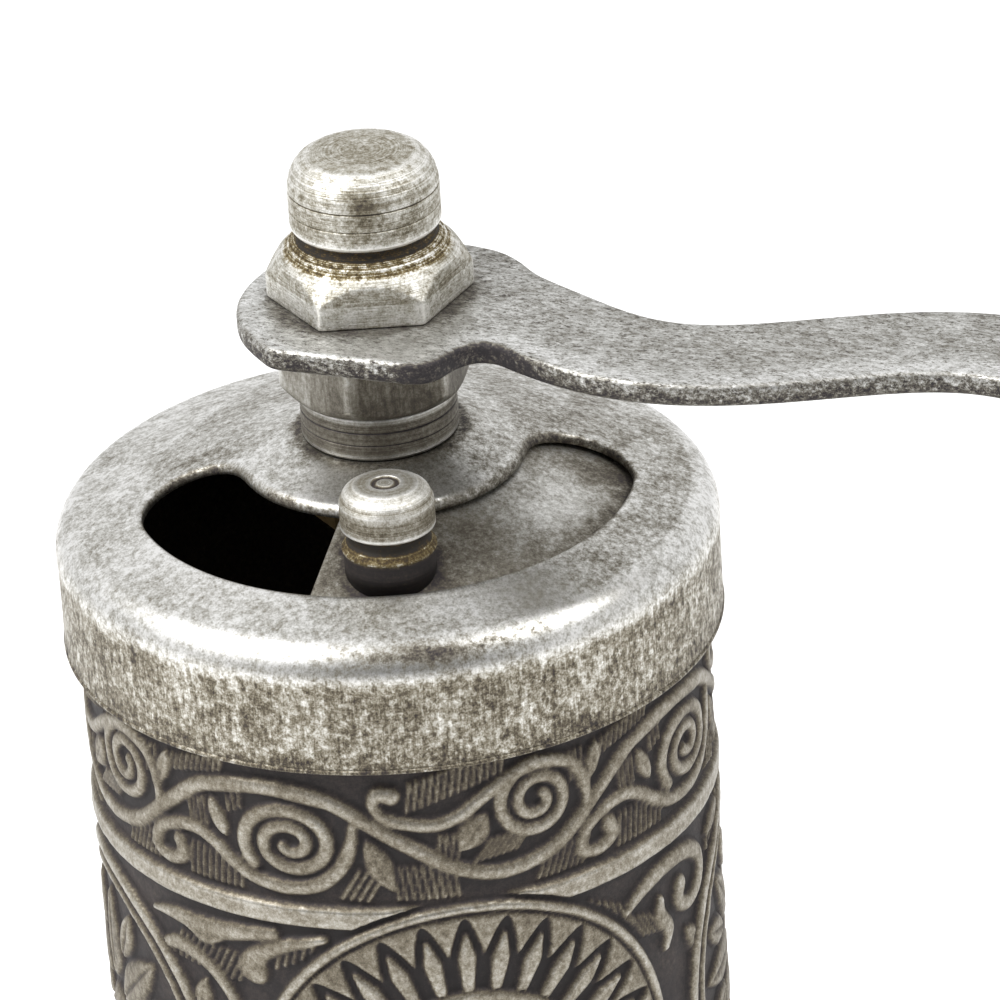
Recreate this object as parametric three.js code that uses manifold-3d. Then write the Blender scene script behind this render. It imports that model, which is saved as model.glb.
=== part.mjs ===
// Small hand spice grinder of pewter-finished brass: a turned and embossed barrel in two
// halves, a conical lid with a kidney-shaped filling slot and its shutter, a wavy crank,
// and a conical burr mill set by a nut under the burr. Millimetres, +Z up, origin at the
// middle of the base, crank in the pose of the photograph.
import * as THREE from 'three';
import { mergeVertices } from 'three/addons/utils/BufferGeometryUtils.js';
import Module from 'manifold-3d';

const wasm = await Module();
wasm.setup();

// Barrel
const BODY_RADIUS = 19.9;
const BAND_RELIEF = 0.3;
const BAND_HEIGHT = 1.7;
const BARREL_CORNER = 1.2;
const CUP_HEIGHT = 35;
const CUP_WALL = 1.3;
const CUP_FLOOR = 1.6;
const FOOT_HEIGHT = 8.4;
const CASING_HEIGHT = 48;
const CASING_WALL = 1.2;
const NECK_LENGTH = 11;
const NECK_WALL = 1.2;
const NECK_CHAMFER = 0.5;
const LEDGE_RISE = 2;
const FRIEZE_HEIGHT = 10;

// Lid
const LID_SHEET = 0.65;
const SKIRT_GAP = 0.15;
const SKIRT_HEIGHT = 8.44;
const SKIRT_HEM = 0.3;
const SHOULDER_FILLET = 1.5;
const SHOULDER_INSET = 0.87;
const CONE_SLOPE = 0.335;
const LAND_RADIUS = 5.6;
const SLOT_RADIUS = 12.45;
const SLOT_HALF_WIDTH = 3.35;
const SLOT_MIDDLE_DEG = -86;
const SLOT_HALF_SPAN_DEG = 77;

// Shutter under the lid
const SHUTTER_SHEET = 0.65;
const SHUTTER_GAP = 0.27;
const SHUTTER_OVERLAP = 1.4;
const SHUTTER_FROM_DEG = -109;
const SHUTTER_SPAN_DEG = 199;
const SHUTTER_KNOB_DEG = -89;
const SHUTTER_KNOB_RADIUS = 2.95;
const SHUTTER_KNOB_HEIGHT = 5.7;
const SHUTTER_SHANK_RADIUS = 1.2;
const SHUTTER_PEEN_WIDTH = 0.8;
const SHUTTER_PEEN_HEIGHT = 0.6;

// Top bearing
const BUSH_FLANGE_RADIUS = 5.15;
const BUSH_FLANGE_HEIGHT = 2.96;
const BUSH_SHANK_RADIUS = 4.2;
const FRICTION_WASHER_WAVE = 0.2;
const FRICTION_WASHER_THICKNESS = 0.3;
const FRICTION_WASHER_MARGIN = 0.15;
const BUSH_NUT_ACROSS_FLATS = 11;
const BUSH_NUT_HEIGHT = 1.8;

// Spindle
const SPINDLE_RADIUS = 3.1;
const SPINDLE_THREAD_RADIUS = 2.1;
const SPINDLE_CLIP_THICKNESS = 0.6;
const SPINDLE_CLIP_WIDTH = 1.7;
const SPINDLE_GROOVE_DEPTH = 0.5;
const SPINDLE_TAIL = 3.2;
const HEX_COLLAR_RADIUS = 6.3;
const HEX_COLLAR_HEIGHT = 4.9;
const HEX_COLLAR_TURN_DEG = 13.4;
const HEX_COLLAR_CHAMFER = 1;

// Crank
const CRANK_TURN_DEG = -24;
const CRANK_LENGTH = 70.2;
const CRANK_THICKNESS = 1.5;
const CRANK_EDGE = 0.3;
const EYE_RADIUS = 7.9;
const ARM_HALF_WIDTH = 4.32;
const ARM_END_HALF_WIDTH = 3.5;
const ARM_START = 12.2;
const WAVE_START = 9.9;
const WAVE_DEPTH = 3.25;
const WAVE_FADE = 0.65;
const WAVES = 1.5;
const BOSS_RADIUS = 6;

// Cap nut
const NUT_CORNER_RADIUS = 6.52;
const NUT_HEX_HEIGHT = 3.3;
const NUT_NECK_RADIUS = 4.25;
const NUT_KNOB_RADIUS = 4.73;
const NUT_HEIGHT = 9.6;
const NUT_WALL = 1.9;

// Crank knob
const KNOB_RADIUS = 7;
const KNOB_HEIGHT = 14;
const KNOB_WASHER_THICKNESS = 0.6;
const KNOB_PIN_RADIUS = 1.6;
const KNOB_PIN_HEAD_WIDTH = 1;
const KNOB_PIN_HEAD_HEIGHT = 0.9;
const KNOB_RECESS_FLOOR = 0.2;

// Burr carrier and outer burr
const CARRIER_WALL = 3.65;
const CARRIER_RIM = 3.2;
const CARRIER_LIP = 0.6;
const CARRIER_FLANGE = 1.2;
const CARRIER_STEP = 1.2;
const OUTER_BURR_HEIGHT = 5.8;
const OUTER_BURR_WALL = 0.9;
const OUTER_BURR_FLARE = 0.28;
const OUTER_BURR_MOUTH = 2.2;
const OUTER_TOOTH_DEPTH = 0.55;
const OUTER_TEETH = 20;
const OUTER_TWIST_DEG = 12.5;
const SNAP_RING_THICKNESS = 0.6;
const SNAP_RING_WIDTH = 1.05;
const SNAP_RING_GROOVE = 0.5;

// Inner burr
const BURR_GAP = 0.5;
const BURR_TRAVEL = 0.6;
const BURR_OVERHANG = 0.7;
const INNER_BURR_HEIGHT = 11;
const INNER_BURR_TOP_RADIUS = 5.2;
const INNER_TEETH = 9;
const INNER_TOOTH_DEPTH = 1.5;
const FINE_TOOTH_DEPTH = 0.5;
const TOOTH_TWIST_DEG = 50;

// Bridge, spring and adjuster
const BRIDGE_RISE = 7.2;
const BRIDGE_HUB_HEIGHT = 5;
const BRIDGE_HUB_RADIUS = 5.4;
const BRIDGE_LEG_WIDTH = 4;
const BRIDGE_FOOT_HEIGHT = 1.4;
const BRIDGE_LEGS = 3;
const BRIDGE_TURN_DEG = 90;
const SCREW_RADIUS = 0.8;
const SCREW_LENGTH = 6;
const SCREW_HEAD_RADIUS = 1.6;
const SCREW_HEAD_HEIGHT = 1.1;
const SPRING_SEAT_THICKNESS = 0.6;
const SPRING_SEAT_RADIUS = 5;
const SPRING_WIRE_RADIUS = 0.4;
const SPRING_RADIUS = 4.1;
const SPRING_TURNS = 4;
const THRUST_WASHER_THICKNESS = 0.6;
const THRUST_WASHER_RADIUS = 4.6;
const ADJUSTER_RADIUS = 6.4;
const ADJUSTER_HEIGHT = 4;
const ADJUSTER_SCALLOPS = 10;
const ADJUSTER_SCALLOP_DEPTH = 0.6;

// Clearances
const LOOSE = 0.3;
const SEATED = 0.05;

// Faces round a turned piece
const BARREL_SIDES = 48;
const RING_SIDES = 36;
const FITTING_SIDES = 24;
const SMALL_SIDES = 16;
const SCREW_SIDES = 10;
const HEXAGON = 6;

// How far a cutting shape reaches past what it cuts
const PAST = 1;

// Worked out from the sizes above
const radians = THREE.MathUtils.degToRad;
const BAND_RADIUS = BODY_RADIUS + BAND_RELIEF;
const LID_BORE_RADIUS = BAND_RADIUS + SKIRT_GAP;
const LID_RADIUS = LID_BORE_RADIUS + LID_SHEET;
const CUP_BORE_RADIUS = BODY_RADIUS - CUP_WALL;
const CASING_BORE_RADIUS = BODY_RADIUS - CASING_WALL;
const NECK_RADIUS = CUP_BORE_RADIUS - LOOSE;
const NECK_BORE_RADIUS = NECK_RADIUS - NECK_WALL;
const NECK_BOTTOM = CUP_HEIGHT - NECK_LENGTH;
const LEDGE_Z = CUP_HEIGHT + LEDGE_RISE;
const SHOULDER_Z = CUP_HEIGHT + CASING_HEIGHT;
const CONE_ANGLE = Math.atan(CONE_SLOPE);
const CONE_EDGE_RADIUS = LID_RADIUS - SHOULDER_INSET;
const SHEET_DROP = LID_SHEET / Math.cos(CONE_ANGLE);
const LID_LAND_Z = coneHeight(LAND_RADIUS);
const SHUTTER_DROP = SHEET_DROP + SHUTTER_GAP;
const SHUTTER_SHEET_DROP = SHUTTER_SHEET / Math.cos(CONE_ANGLE);
const SHUTTER_RADIUS = SLOT_RADIUS + SLOT_HALF_WIDTH + SHUTTER_OVERLAP;
const SHUTTER_LAND_Z = LID_LAND_Z - SHUTTER_DROP;
const CASING_TOP = coneHeight(LID_RADIUS) - SHEET_DROP;
const BUSH_BORE_RADIUS = SPINDLE_RADIUS + LOOSE;
const BUSH_TOP = LID_LAND_Z + BUSH_FLANGE_HEIGHT + SEATED;
const FRICTION_WASHER_RADIUS = LAND_RADIUS - FRICTION_WASHER_MARGIN;
const WASHER_MIDDLE_Z = SHUTTER_LAND_Z - SHUTTER_SHEET_DROP - SEATED
  - FRICTION_WASHER_WAVE - FRICTION_WASHER_THICKNESS / 2;
const BUSH_NUT_TOP = WASHER_MIDDLE_Z - FRICTION_WASHER_WAVE - FRICTION_WASHER_THICKNESS / 2 - SEATED;
const BUSH_BOTTOM = BUSH_NUT_TOP - BUSH_NUT_HEIGHT;
const SPINDLE_CLIP_TOP = BUSH_BOTTOM - SEATED;
const SPINDLE_FLAT = SPINDLE_RADIUS * Math.SQRT1_2;
const SQUARE_HOLE = SPINDLE_FLAT + LOOSE;
const HEX_COLLAR_BOTTOM = BUSH_TOP + 2 * SEATED;
const CRANK_BOTTOM = HEX_COLLAR_BOTTOM + HEX_COLLAR_HEIGHT + SEATED;
const CRANK_TOP = CRANK_BOTTOM + CRANK_THICKNESS;
const NUT_BOTTOM = CRANK_TOP + SEATED;
const WAVE_PERIOD = (CRANK_LENGTH - WAVE_START) / WAVES;
const SPINDLE_TOP = NUT_BOTTOM + NUT_HEIGHT - NUT_WALL - LOOSE;

const CARRIER_BOTTOM = NECK_BOTTOM + LOOSE;
const CARRIER_RADIUS = NECK_BORE_RADIUS - LOOSE;
const CARRIER_SEAT = LEDGE_Z + SEATED;
const CARRIER_TOP = CARRIER_SEAT + CARRIER_FLANGE;
const CARRIER_BORE_RADIUS = CARRIER_RADIUS - CARRIER_WALL;
const CARRIER_MOUTH_RADIUS = CARRIER_RADIUS - CARRIER_RIM;
const SCREW_CIRCLE_RADIUS = (CARRIER_MOUTH_RADIUS + CARRIER_RADIUS) / 2;
const OUTER_BURR_RADIUS = CARRIER_BORE_RADIUS - LOOSE;
const SNAP_RING_BOTTOM = CARRIER_BOTTOM + CARRIER_LIP + SEATED;
const SNAP_RING_TOP = SNAP_RING_BOTTOM + SNAP_RING_THICKNESS;
const OUTER_BURR_BOTTOM = SNAP_RING_TOP + LOOSE;
const OUTER_BURR_TOP = OUTER_BURR_BOTTOM + OUTER_BURR_HEIGHT;
const CARRIER_STEP_Z = OUTER_BURR_TOP + LOOSE;
const CARRIER_THROAT_RADIUS = OUTER_BURR_RADIUS - OUTER_BURR_WALL;
const CREST_RADIUS = OUTER_BURR_RADIUS - OUTER_BURR_WALL;
const CREST_TOP_Z = OUTER_BURR_TOP - OUTER_BURR_MOUTH;

const BURR_BOTTOM = OUTER_BURR_BOTTOM - BURR_OVERHANG;
const BURR_TOP = BURR_BOTTOM + INNER_BURR_HEIGHT;
const BURR_RADIUS = CREST_RADIUS - BURR_GAP;
const THRUST_WASHER_TOP = BURR_BOTTOM - SEATED;
const ADJUSTER_TOP = THRUST_WASHER_TOP - THRUST_WASHER_THICKNESS - SEATED;
const ADJUSTER_BOTTOM = ADJUSTER_TOP - ADJUSTER_HEIGHT;
const SPINDLE_BOTTOM = ADJUSTER_BOTTOM - SPINDLE_TAIL;
const SPINDLE_SQUARE_BOTTOM = ADJUSTER_TOP + BURR_TRAVEL + LOOSE;

const FOOT_TOP = CARRIER_TOP + SEATED + BRIDGE_FOOT_HEIGHT;
const HUB_BOTTOM = CARRIER_TOP + BRIDGE_RISE;
const HUB_TOP = HUB_BOTTOM + BRIDGE_HUB_HEIGHT;
const SPINDLE_SHOULDER = HUB_BOTTOM - LOOSE;
const SPRING_SEAT_BOTTOM = SPINDLE_SHOULDER - SEATED - SPRING_SEAT_THICKNESS;

// Height of the lid's outer cone at a radius.
function coneHeight(radius) {
  return SHOULDER_Z + (CONE_EDGE_RADIUS - radius) * CONE_SLOPE;
}

// Finishes

const PEWTER = { color: 0xa8a196, roughness: 0.42, metalness: 0.9 };
const WORN_PEWTER = { color: 0xb9b2a6, roughness: 0.36, metalness: 0.9 };
const STEEL = { color: 0x6f7072, roughness: 0.35, metalness: 1 };
const HARD_STEEL = { color: 0x4d4e50, roughness: 0.5, metalness: 1 };
const SPRING_STEEL = { color: 0x8b8d90, roughness: 0.3, metalness: 1 };
const BRASS = { color: 0x9a7c45, roughness: 0.45, metalness: 0.9 };

// Geometry tools

// One closed skin: shared corners are joined and faces of no area are left out.
function weld(geometry) {
  geometry.deleteAttribute('normal');
  geometry.deleteAttribute('uv');
  const welded = mergeVertices(geometry, 1e-4);
  const from = welded.index.array;
  const kept = [];
  for (let i = 0; i < from.length; i += 3) {
    const [a, b, c] = [from[i], from[i + 1], from[i + 2]];
    if (a !== b && b !== c && c !== a) kept.push(a, b, c);
  }
  welded.setIndex(kept);
  return welded;
}

// A body turned about Z. The profile lists [radius, height] upwards along the outside and
// back down along the inside; it starts and ends on the axis or closes on itself.
function turned(profile, sides) {
  const points = profile.map(([radius, height]) => new THREE.Vector2(radius, height));
  return weld(new THREE.LatheGeometry(points, sides).rotateX(Math.PI / 2));
}

// A turned ring: the profile closes on itself.
function turnedRing(profile, sides) {
  return turned([...profile, profile[0]], sides);
}

// A flat ring of rectangular section.
function flatRing(inner, outer, bottom, top, sides) {
  return turnedRing([[inner, bottom], [outer, bottom], [outer, top], [inner, top]], sides);
}

// A plain round bar or hole from one height to another.
function bar(radius, bottom, top, sides) {
  return turned([[0, bottom], [radius, bottom], [radius, top], [0, top]], sides);
}

// A skin swept round Z whose section changes with the angle. profileAt(column) lists
// [radius, height, turn] in the order of turned(); closed sections close on themselves.
function swept(columns, profileAt) {
  const positions = [];
  const index = [];
  let rows = 0;
  for (let column = 0; column < columns; column += 1) {
    const profile = profileAt(column);
    rows = profile.length;
    for (const [radius, height, turn] of profile) {
      const angle = (2 * Math.PI * column) / columns + turn;
      positions.push(radius * Math.cos(angle), radius * Math.sin(angle), height);
    }
  }
  for (let column = 0; column < columns; column += 1) {
    for (let row = 0; row < rows; row += 1) {
      const a = column * rows + row;
      const b = column * rows + ((row + 1) % rows);
      const c = ((column + 1) % columns) * rows + ((row + 1) % rows);
      const d = ((column + 1) % columns) * rows + row;
      index.push(a, d, c, a, c, b);
    }
  }
  const geometry = new THREE.BufferGeometry();
  geometry.setAttribute('position', new THREE.Float32BufferAttribute(positions, 3));
  geometry.setIndex(index);
  return weld(geometry);
}

// A flat outline pulled up from one height to another, with its edges eased if asked.
function plate(shape, bottom, top, edge = 0, curveSegments = 12) {
  const geometry = new THREE.ExtrudeGeometry(shape, {
    depth: top - bottom - 2 * edge,
    bevelEnabled: edge > 0,
    bevelThickness: edge,
    bevelSize: edge,
    bevelOffset: -edge,
    bevelSegments: 1,
    curveSegments,
  });
  return weld(geometry.translate(0, 0, bottom + edge));
}

// A regular outline; corner 0 lies at the given turn.
function polygonShape(corners, radius, turn = 0) {
  const points = [];
  for (let corner = 0; corner < corners; corner += 1) {
    const angle = turn + (2 * Math.PI * corner) / corners;
    points.push(new THREE.Vector2(radius * Math.cos(angle), radius * Math.sin(angle)));
  }
  return new THREE.Shape(points);
}

// A square bar or hole, given half the distance across its flats.
function squareBar(halfWidth, bottom, top) {
  return plate(polygonShape(4, halfWidth * Math.SQRT2, Math.PI / 4), bottom, top);
}

function toManifold(geometry) {
  return new wasm.Manifold(new wasm.Mesh({
    numProp: 3,
    vertProperties: new Float32Array(geometry.attributes.position.array),
    triVerts: new Uint32Array(geometry.index.array),
  }));
}

function fromManifold(solid) {
  const mesh = solid.getMesh();
  const geometry = new THREE.BufferGeometry();
  geometry.setAttribute('position', new THREE.Float32BufferAttribute(mesh.vertProperties, 3));
  geometry.setIndex(Array.from(mesh.triVerts));
  return geometry;
}

function cut(geometry, ...tools) {
  return fromManifold(tools.reduce((solid, tool) => solid.subtract(toManifold(tool)), toManifold(geometry)));
}

function join(geometry, ...others) {
  return fromManifold(others.reduce((solid, other) => solid.add(toManifold(other)), toManifold(geometry)));
}

function common(geometry, other) {
  return fromManifold(toManifold(geometry).intersect(toManifold(other)));
}

// Barrel halves

// Raised band round the barrel, from its lower edge up.
function band(bottom) {
  return [
    [BODY_RADIUS, bottom],
    [BAND_RADIUS, bottom + BAND_RELIEF],
    [BAND_RADIUS, bottom + BAND_HEIGHT - BAND_RELIEF],
    [BODY_RADIUS, bottom + BAND_HEIGHT],
  ];
}

function receivingCup() {
  return turned([
    [0, 0],
    [LID_RADIUS - BARREL_CORNER, 0],
    [LID_RADIUS, BARREL_CORNER],
    [LID_RADIUS, FOOT_HEIGHT - LID_SHEET],
    [LID_RADIUS - LID_SHEET, FOOT_HEIGHT],
    [BODY_RADIUS, FOOT_HEIGHT],
    ...band(FOOT_HEIGHT + FRIEZE_HEIGHT),
    [BODY_RADIUS, CUP_HEIGHT - BAND_HEIGHT],
    [BAND_RADIUS, CUP_HEIGHT - BAND_HEIGHT + BAND_RELIEF],
    [BAND_RADIUS, CUP_HEIGHT],
    [CUP_BORE_RADIUS, CUP_HEIGHT],
    [CUP_BORE_RADIUS, CUP_FLOOR + BARREL_CORNER],
    [CUP_BORE_RADIUS - BARREL_CORNER, CUP_FLOOR],
    [0, CUP_FLOOR],
  ], BARREL_SIDES);
}

function hopperShell() {
  return turnedRing([
    [NECK_BORE_RADIUS, NECK_BOTTOM],
    [NECK_RADIUS - NECK_CHAMFER, NECK_BOTTOM],
    [NECK_RADIUS, NECK_BOTTOM + NECK_CHAMFER],
    [NECK_RADIUS, CUP_HEIGHT],
    [BAND_RADIUS, CUP_HEIGHT],
    [BAND_RADIUS, CUP_HEIGHT + BAND_HEIGHT - BAND_RELIEF],
    [BODY_RADIUS, CUP_HEIGHT + BAND_HEIGHT],
    ...band(SHOULDER_Z - SKIRT_HEIGHT - FRIEZE_HEIGHT - BAND_HEIGHT),
    [BODY_RADIUS, CASING_TOP - LOOSE],
    [CASING_BORE_RADIUS, CASING_TOP - LOOSE],
    [CASING_BORE_RADIUS, LEDGE_Z],
    [NECK_BORE_RADIUS, LEDGE_Z],
  ], BARREL_SIDES);
}

// Lid and shutter

// Kidney-shaped slot: an arc-shaped band with round ends, given its half width.
function slotShape(halfWidth) {
  const middle = radians(SLOT_MIDDLE_DEG);
  const from = middle - radians(SLOT_HALF_SPAN_DEG);
  const to = middle + radians(SLOT_HALF_SPAN_DEG);
  const shape = new THREE.Shape();
  shape.absarc(0, 0, SLOT_RADIUS + halfWidth, from, to, false);
  shape.absarc(SLOT_RADIUS * Math.cos(to), SLOT_RADIUS * Math.sin(to), halfWidth, to, to + Math.PI, false);
  shape.absarc(0, 0, SLOT_RADIUS - halfWidth, to, from, true);
  shape.absarc(SLOT_RADIUS * Math.cos(from), SLOT_RADIUS * Math.sin(from), halfWidth,
    from + Math.PI, from + 2 * Math.PI, false);
  return shape;
}

// Rounded corner from the skirt to the cone, for the outside or the inside of the sheet.
function shoulderArc(filletRadius, steps) {
  const centreRadius = LID_RADIUS - SHOULDER_FILLET;
  const centreZ = coneHeight(centreRadius) - SHOULDER_FILLET / Math.cos(CONE_ANGLE);
  const points = [];
  for (let step = 0; step <= steps; step += 1) {
    const angle = (step / steps) * (Math.PI / 2 - CONE_ANGLE);
    points.push([
      centreRadius + filletRadius * Math.cos(angle),
      centreZ + filletRadius * Math.sin(angle),
    ]);
  }
  return points;
}

function lid() {
  const skirtBottom = SHOULDER_Z - SKIRT_HEIGHT;
  const hole = BUSH_SHANK_RADIUS + LOOSE;
  const dome = turnedRing([
    [LID_BORE_RADIUS, skirtBottom],
    [LID_RADIUS - SKIRT_HEM, skirtBottom],
    [LID_RADIUS, skirtBottom + SKIRT_HEM],
    ...shoulderArc(SHOULDER_FILLET, 3),
    [LAND_RADIUS, LID_LAND_Z],
    [hole, LID_LAND_Z],
    [hole, LID_LAND_Z - SHEET_DROP],
    [LAND_RADIUS, LID_LAND_Z - SHEET_DROP],
    ...shoulderArc(SHOULDER_FILLET - LID_SHEET, 2).reverse(),
  ], BARREL_SIDES);
  return cut(dome, plate(slotShape(SLOT_HALF_WIDTH), CASING_TOP - SKIRT_HEIGHT, BUSH_TOP));
}

// A pie slice of the given radius, as a cutter.
function sector(radius, from, span, bottom, top) {
  const shape = new THREE.Shape();
  shape.moveTo(0, 0);
  shape.absarc(0, 0, radius, from, from + span, false);
  shape.closePath();
  return plate(shape, bottom, top, 0, 24);
}

function shutterPlate() {
  const hole = BUSH_SHANK_RADIUS + LOOSE;
  const rim = coneHeight(SHUTTER_RADIUS) - SHUTTER_DROP;
  const dish = turnedRing([
    [hole, SHUTTER_LAND_Z - SHUTTER_SHEET_DROP],
    [LAND_RADIUS, SHUTTER_LAND_Z - SHUTTER_SHEET_DROP],
    [SHUTTER_RADIUS, rim - SHUTTER_SHEET_DROP],
    [SHUTTER_RADIUS, rim],
    [LAND_RADIUS, SHUTTER_LAND_Z],
    [hole, SHUTTER_LAND_Z],
  ], BARREL_SIDES);
  const below = rim - SHUTTER_SHEET_DROP - PAST;
  const above = SHUTTER_LAND_Z + PAST;
  const eyeWidth = 1;
  const eye = bar(LAND_RADIUS + eyeWidth, below, above, FITTING_SIDES);
  const slice = sector(LID_RADIUS, radians(SHUTTER_FROM_DEG), radians(SHUTTER_SPAN_DEG), below, above);
  const knobHole = bar(SHUTTER_SHANK_RADIUS + LOOSE, below, above, SMALL_SIDES)
    .applyMatrix4(atShutterKnob());
  return cut(common(dish, join(slice, eye)), knobHole);
}

// Place of the shutter's knob, on the middle line of the slot.
function atShutterKnob() {
  const angle = radians(SHUTTER_KNOB_DEG);
  return new THREE.Matrix4().makeTranslation(SLOT_RADIUS * Math.cos(angle), SLOT_RADIUS * Math.sin(angle), 0);
}

// Knob with a waist, a shank through the plate and a peened foot under it. Its base is
// cut to the plate's cone so that it sits on the slope all round.
function shutterKnob() {
  const radius = SHUTTER_KNOB_RADIUS;
  const outerEdge = SLOT_RADIUS + radius;
  const top = coneHeight(SLOT_RADIUS) - SHUTTER_DROP + SHUTTER_KNOB_HEIGHT;
  const foot = coneHeight(outerEdge) - SHUTTER_DROP - PAST;
  const footRadius = radius - 0.15;
  const flange = top - 4.4;
  const flangeHeight = 0.15;
  const groove = top - 3.4;
  const grooveDepth = 0.55;
  const lip = top - 2.8;
  const crown = 1.3;
  const crownInset = 0.9;
  const body = turned([
    [0, foot],
    [footRadius, foot],
    [footRadius, flange - flangeHeight],
    [radius, flange],
    [radius, flange + flangeHeight],
    [radius - grooveDepth, groove],
    [radius, lip],
    [radius, top - crown],
    [radius - crownInset, top],
    [0, top],
  ], FITTING_SIDES).applyMatrix4(atShutterKnob());
  const peen = SHUTTER_SHANK_RADIUS + SHUTTER_PEEN_WIDTH;
  const peenEdge = SHUTTER_PEEN_HEIGHT / 2;
  const under = coneHeight(SLOT_RADIUS + peen) - SHUTTER_DROP - SHUTTER_SHEET_DROP - SEATED;
  const rivet = turned([
    [0, under - SHUTTER_PEEN_HEIGHT],
    [peen - peenEdge, under - SHUTTER_PEEN_HEIGHT],
    [peen, under - peenEdge],
    [peen, under],
    [SHUTTER_SHANK_RADIUS, under],
    [SHUTTER_SHANK_RADIUS, flange],
    [0, flange],
  ], FITTING_SIDES).applyMatrix4(atShutterKnob());
  const sheetTop = (distance) => coneHeight(distance) - SHUTTER_DROP + SEATED;
  const reach = outerEdge + PAST;
  const underSheet = turned([
    [0, foot - PAST],
    [reach, foot - PAST],
    [reach, sheetTop(reach)],
    [0, sheetTop(0)],
  ], BARREL_SIDES);
  return join(cut(body, underSheet), rivet);
}

// Top bearing

function topBush() {
  const groove = 0.15;
  const flangeBottom = LID_LAND_Z + SEATED;
  return turnedRing([
    [BUSH_BORE_RADIUS, BUSH_BOTTOM],
    [BUSH_SHANK_RADIUS, BUSH_BOTTOM],
    [BUSH_SHANK_RADIUS, flangeBottom],
    [BUSH_FLANGE_RADIUS, flangeBottom],
    [BUSH_FLANGE_RADIUS, BUSH_TOP - groove],
    [BUSH_FLANGE_RADIUS - groove, BUSH_TOP],
    [BUSH_BORE_RADIUS, BUSH_TOP],
  ], FITTING_SIDES);
}

// Spring washer with three waves, which gives the shutter its drag.
function frictionWasher() {
  const waves = 3;
  const columns = 30;
  const inner = BUSH_SHANK_RADIUS + LOOSE;
  return swept(columns, (column) => {
    const lift = FRICTION_WASHER_WAVE * Math.cos((2 * Math.PI * waves * column) / columns);
    const bottom = WASHER_MIDDLE_Z + lift - FRICTION_WASHER_THICKNESS / 2;
    const top = bottom + FRICTION_WASHER_THICKNESS;
    return [
      [inner, bottom, 0],
      [FRICTION_WASHER_RADIUS, bottom, 0],
      [FRICTION_WASHER_RADIUS, top, 0],
      [inner, top, 0],
    ];
  });
}

function bushNut() {
  const corner = BUSH_NUT_ACROSS_FLATS / Math.sqrt(3);
  const hex = plate(polygonShape(HEXAGON, corner), BUSH_BOTTOM, BUSH_NUT_TOP);
  const hole = bar(BUSH_SHANK_RADIUS + LOOSE, BUSH_BOTTOM - PAST, BUSH_NUT_TOP + PAST, FITTING_SIDES);
  return cut(hex, hole);
}

// Spindle group

function spindle() {
  const grooveRadius = SPINDLE_RADIUS - SPINDLE_GROOVE_DEPTH;
  const grooveBottom = SPINDLE_CLIP_TOP - SPINDLE_CLIP_THICKNESS - SEATED;
  const shaft = turned([
    [0, SPINDLE_SQUARE_BOTTOM],
    [SPINDLE_RADIUS, SPINDLE_SQUARE_BOTTOM],
    [SPINDLE_RADIUS, grooveBottom],
    [grooveRadius, grooveBottom],
    [grooveRadius, SPINDLE_CLIP_TOP + SEATED],
    [SPINDLE_RADIUS, SPINDLE_CLIP_TOP + SEATED],
    [SPINDLE_RADIUS, CRANK_TOP - LOOSE],
    [0, CRANK_TOP - LOOSE],
  ], FITTING_SIDES);
  const squareTo = BUSH_TOP - LOOSE;
  const around = LID_RADIUS;
  const tip = 0.5;
  const root = 1;
  const lowerFlats = cut(
    bar(around, SPINDLE_SQUARE_BOTTOM - PAST, SPINDLE_SHOULDER, SMALL_SIDES),
    squareBar(SPINDLE_FLAT, SPINDLE_SQUARE_BOTTOM - 2 * PAST, SPINDLE_SHOULDER + PAST),
  );
  const upperFlats = cut(
    bar(around, squareTo, CRANK_TOP + PAST, SMALL_SIDES),
    squareBar(SPINDLE_FLAT, squareTo - PAST, CRANK_TOP + 2 * PAST).applyMatrix4(crankTurn()),
  );
  const tail = turned([
    [0, SPINDLE_BOTTOM],
    [SPINDLE_THREAD_RADIUS - tip, SPINDLE_BOTTOM],
    [SPINDLE_THREAD_RADIUS, SPINDLE_BOTTOM + tip],
    [SPINDLE_THREAD_RADIUS, SPINDLE_SQUARE_BOTTOM + root],
    [0, SPINDLE_SQUARE_BOTTOM + root],
  ], SMALL_SIDES);
  const stud = turned([
    [0, CRANK_TOP - root],
    [SPINDLE_THREAD_RADIUS, CRANK_TOP - root],
    [SPINDLE_THREAD_RADIUS, SPINDLE_TOP - tip],
    [SPINDLE_THREAD_RADIUS - tip, SPINDLE_TOP],
    [0, SPINDLE_TOP],
  ], SMALL_SIDES);
  return join(cut(shaft, lowerFlats, upperFlats), tail, stud);
}

function crankTurn() {
  return new THREE.Matrix4().makeRotationZ(radians(CRANK_TURN_DEG));
}

// Snap ring that opens on one side, for a groove of the given radius.
function openRing(inner, outer, bottom, top, gapDeg) {
  const from = radians(gapDeg / 2);
  const to = 2 * Math.PI - from;
  const shape = new THREE.Shape();
  shape.absarc(0, 0, outer, from, to, false);
  shape.absarc(0, 0, inner, to, from, true);
  return plate(shape, bottom, top, 0, 14);
}

function spindleClip() {
  const mouthDeg = 80;
  const inner = SPINDLE_RADIUS - SPINDLE_GROOVE_DEPTH + SEATED;
  return openRing(inner, inner + SPINDLE_CLIP_WIDTH, SPINDLE_CLIP_TOP - SPINDLE_CLIP_THICKNESS,
    SPINDLE_CLIP_TOP, mouthDeg);
}

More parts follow.
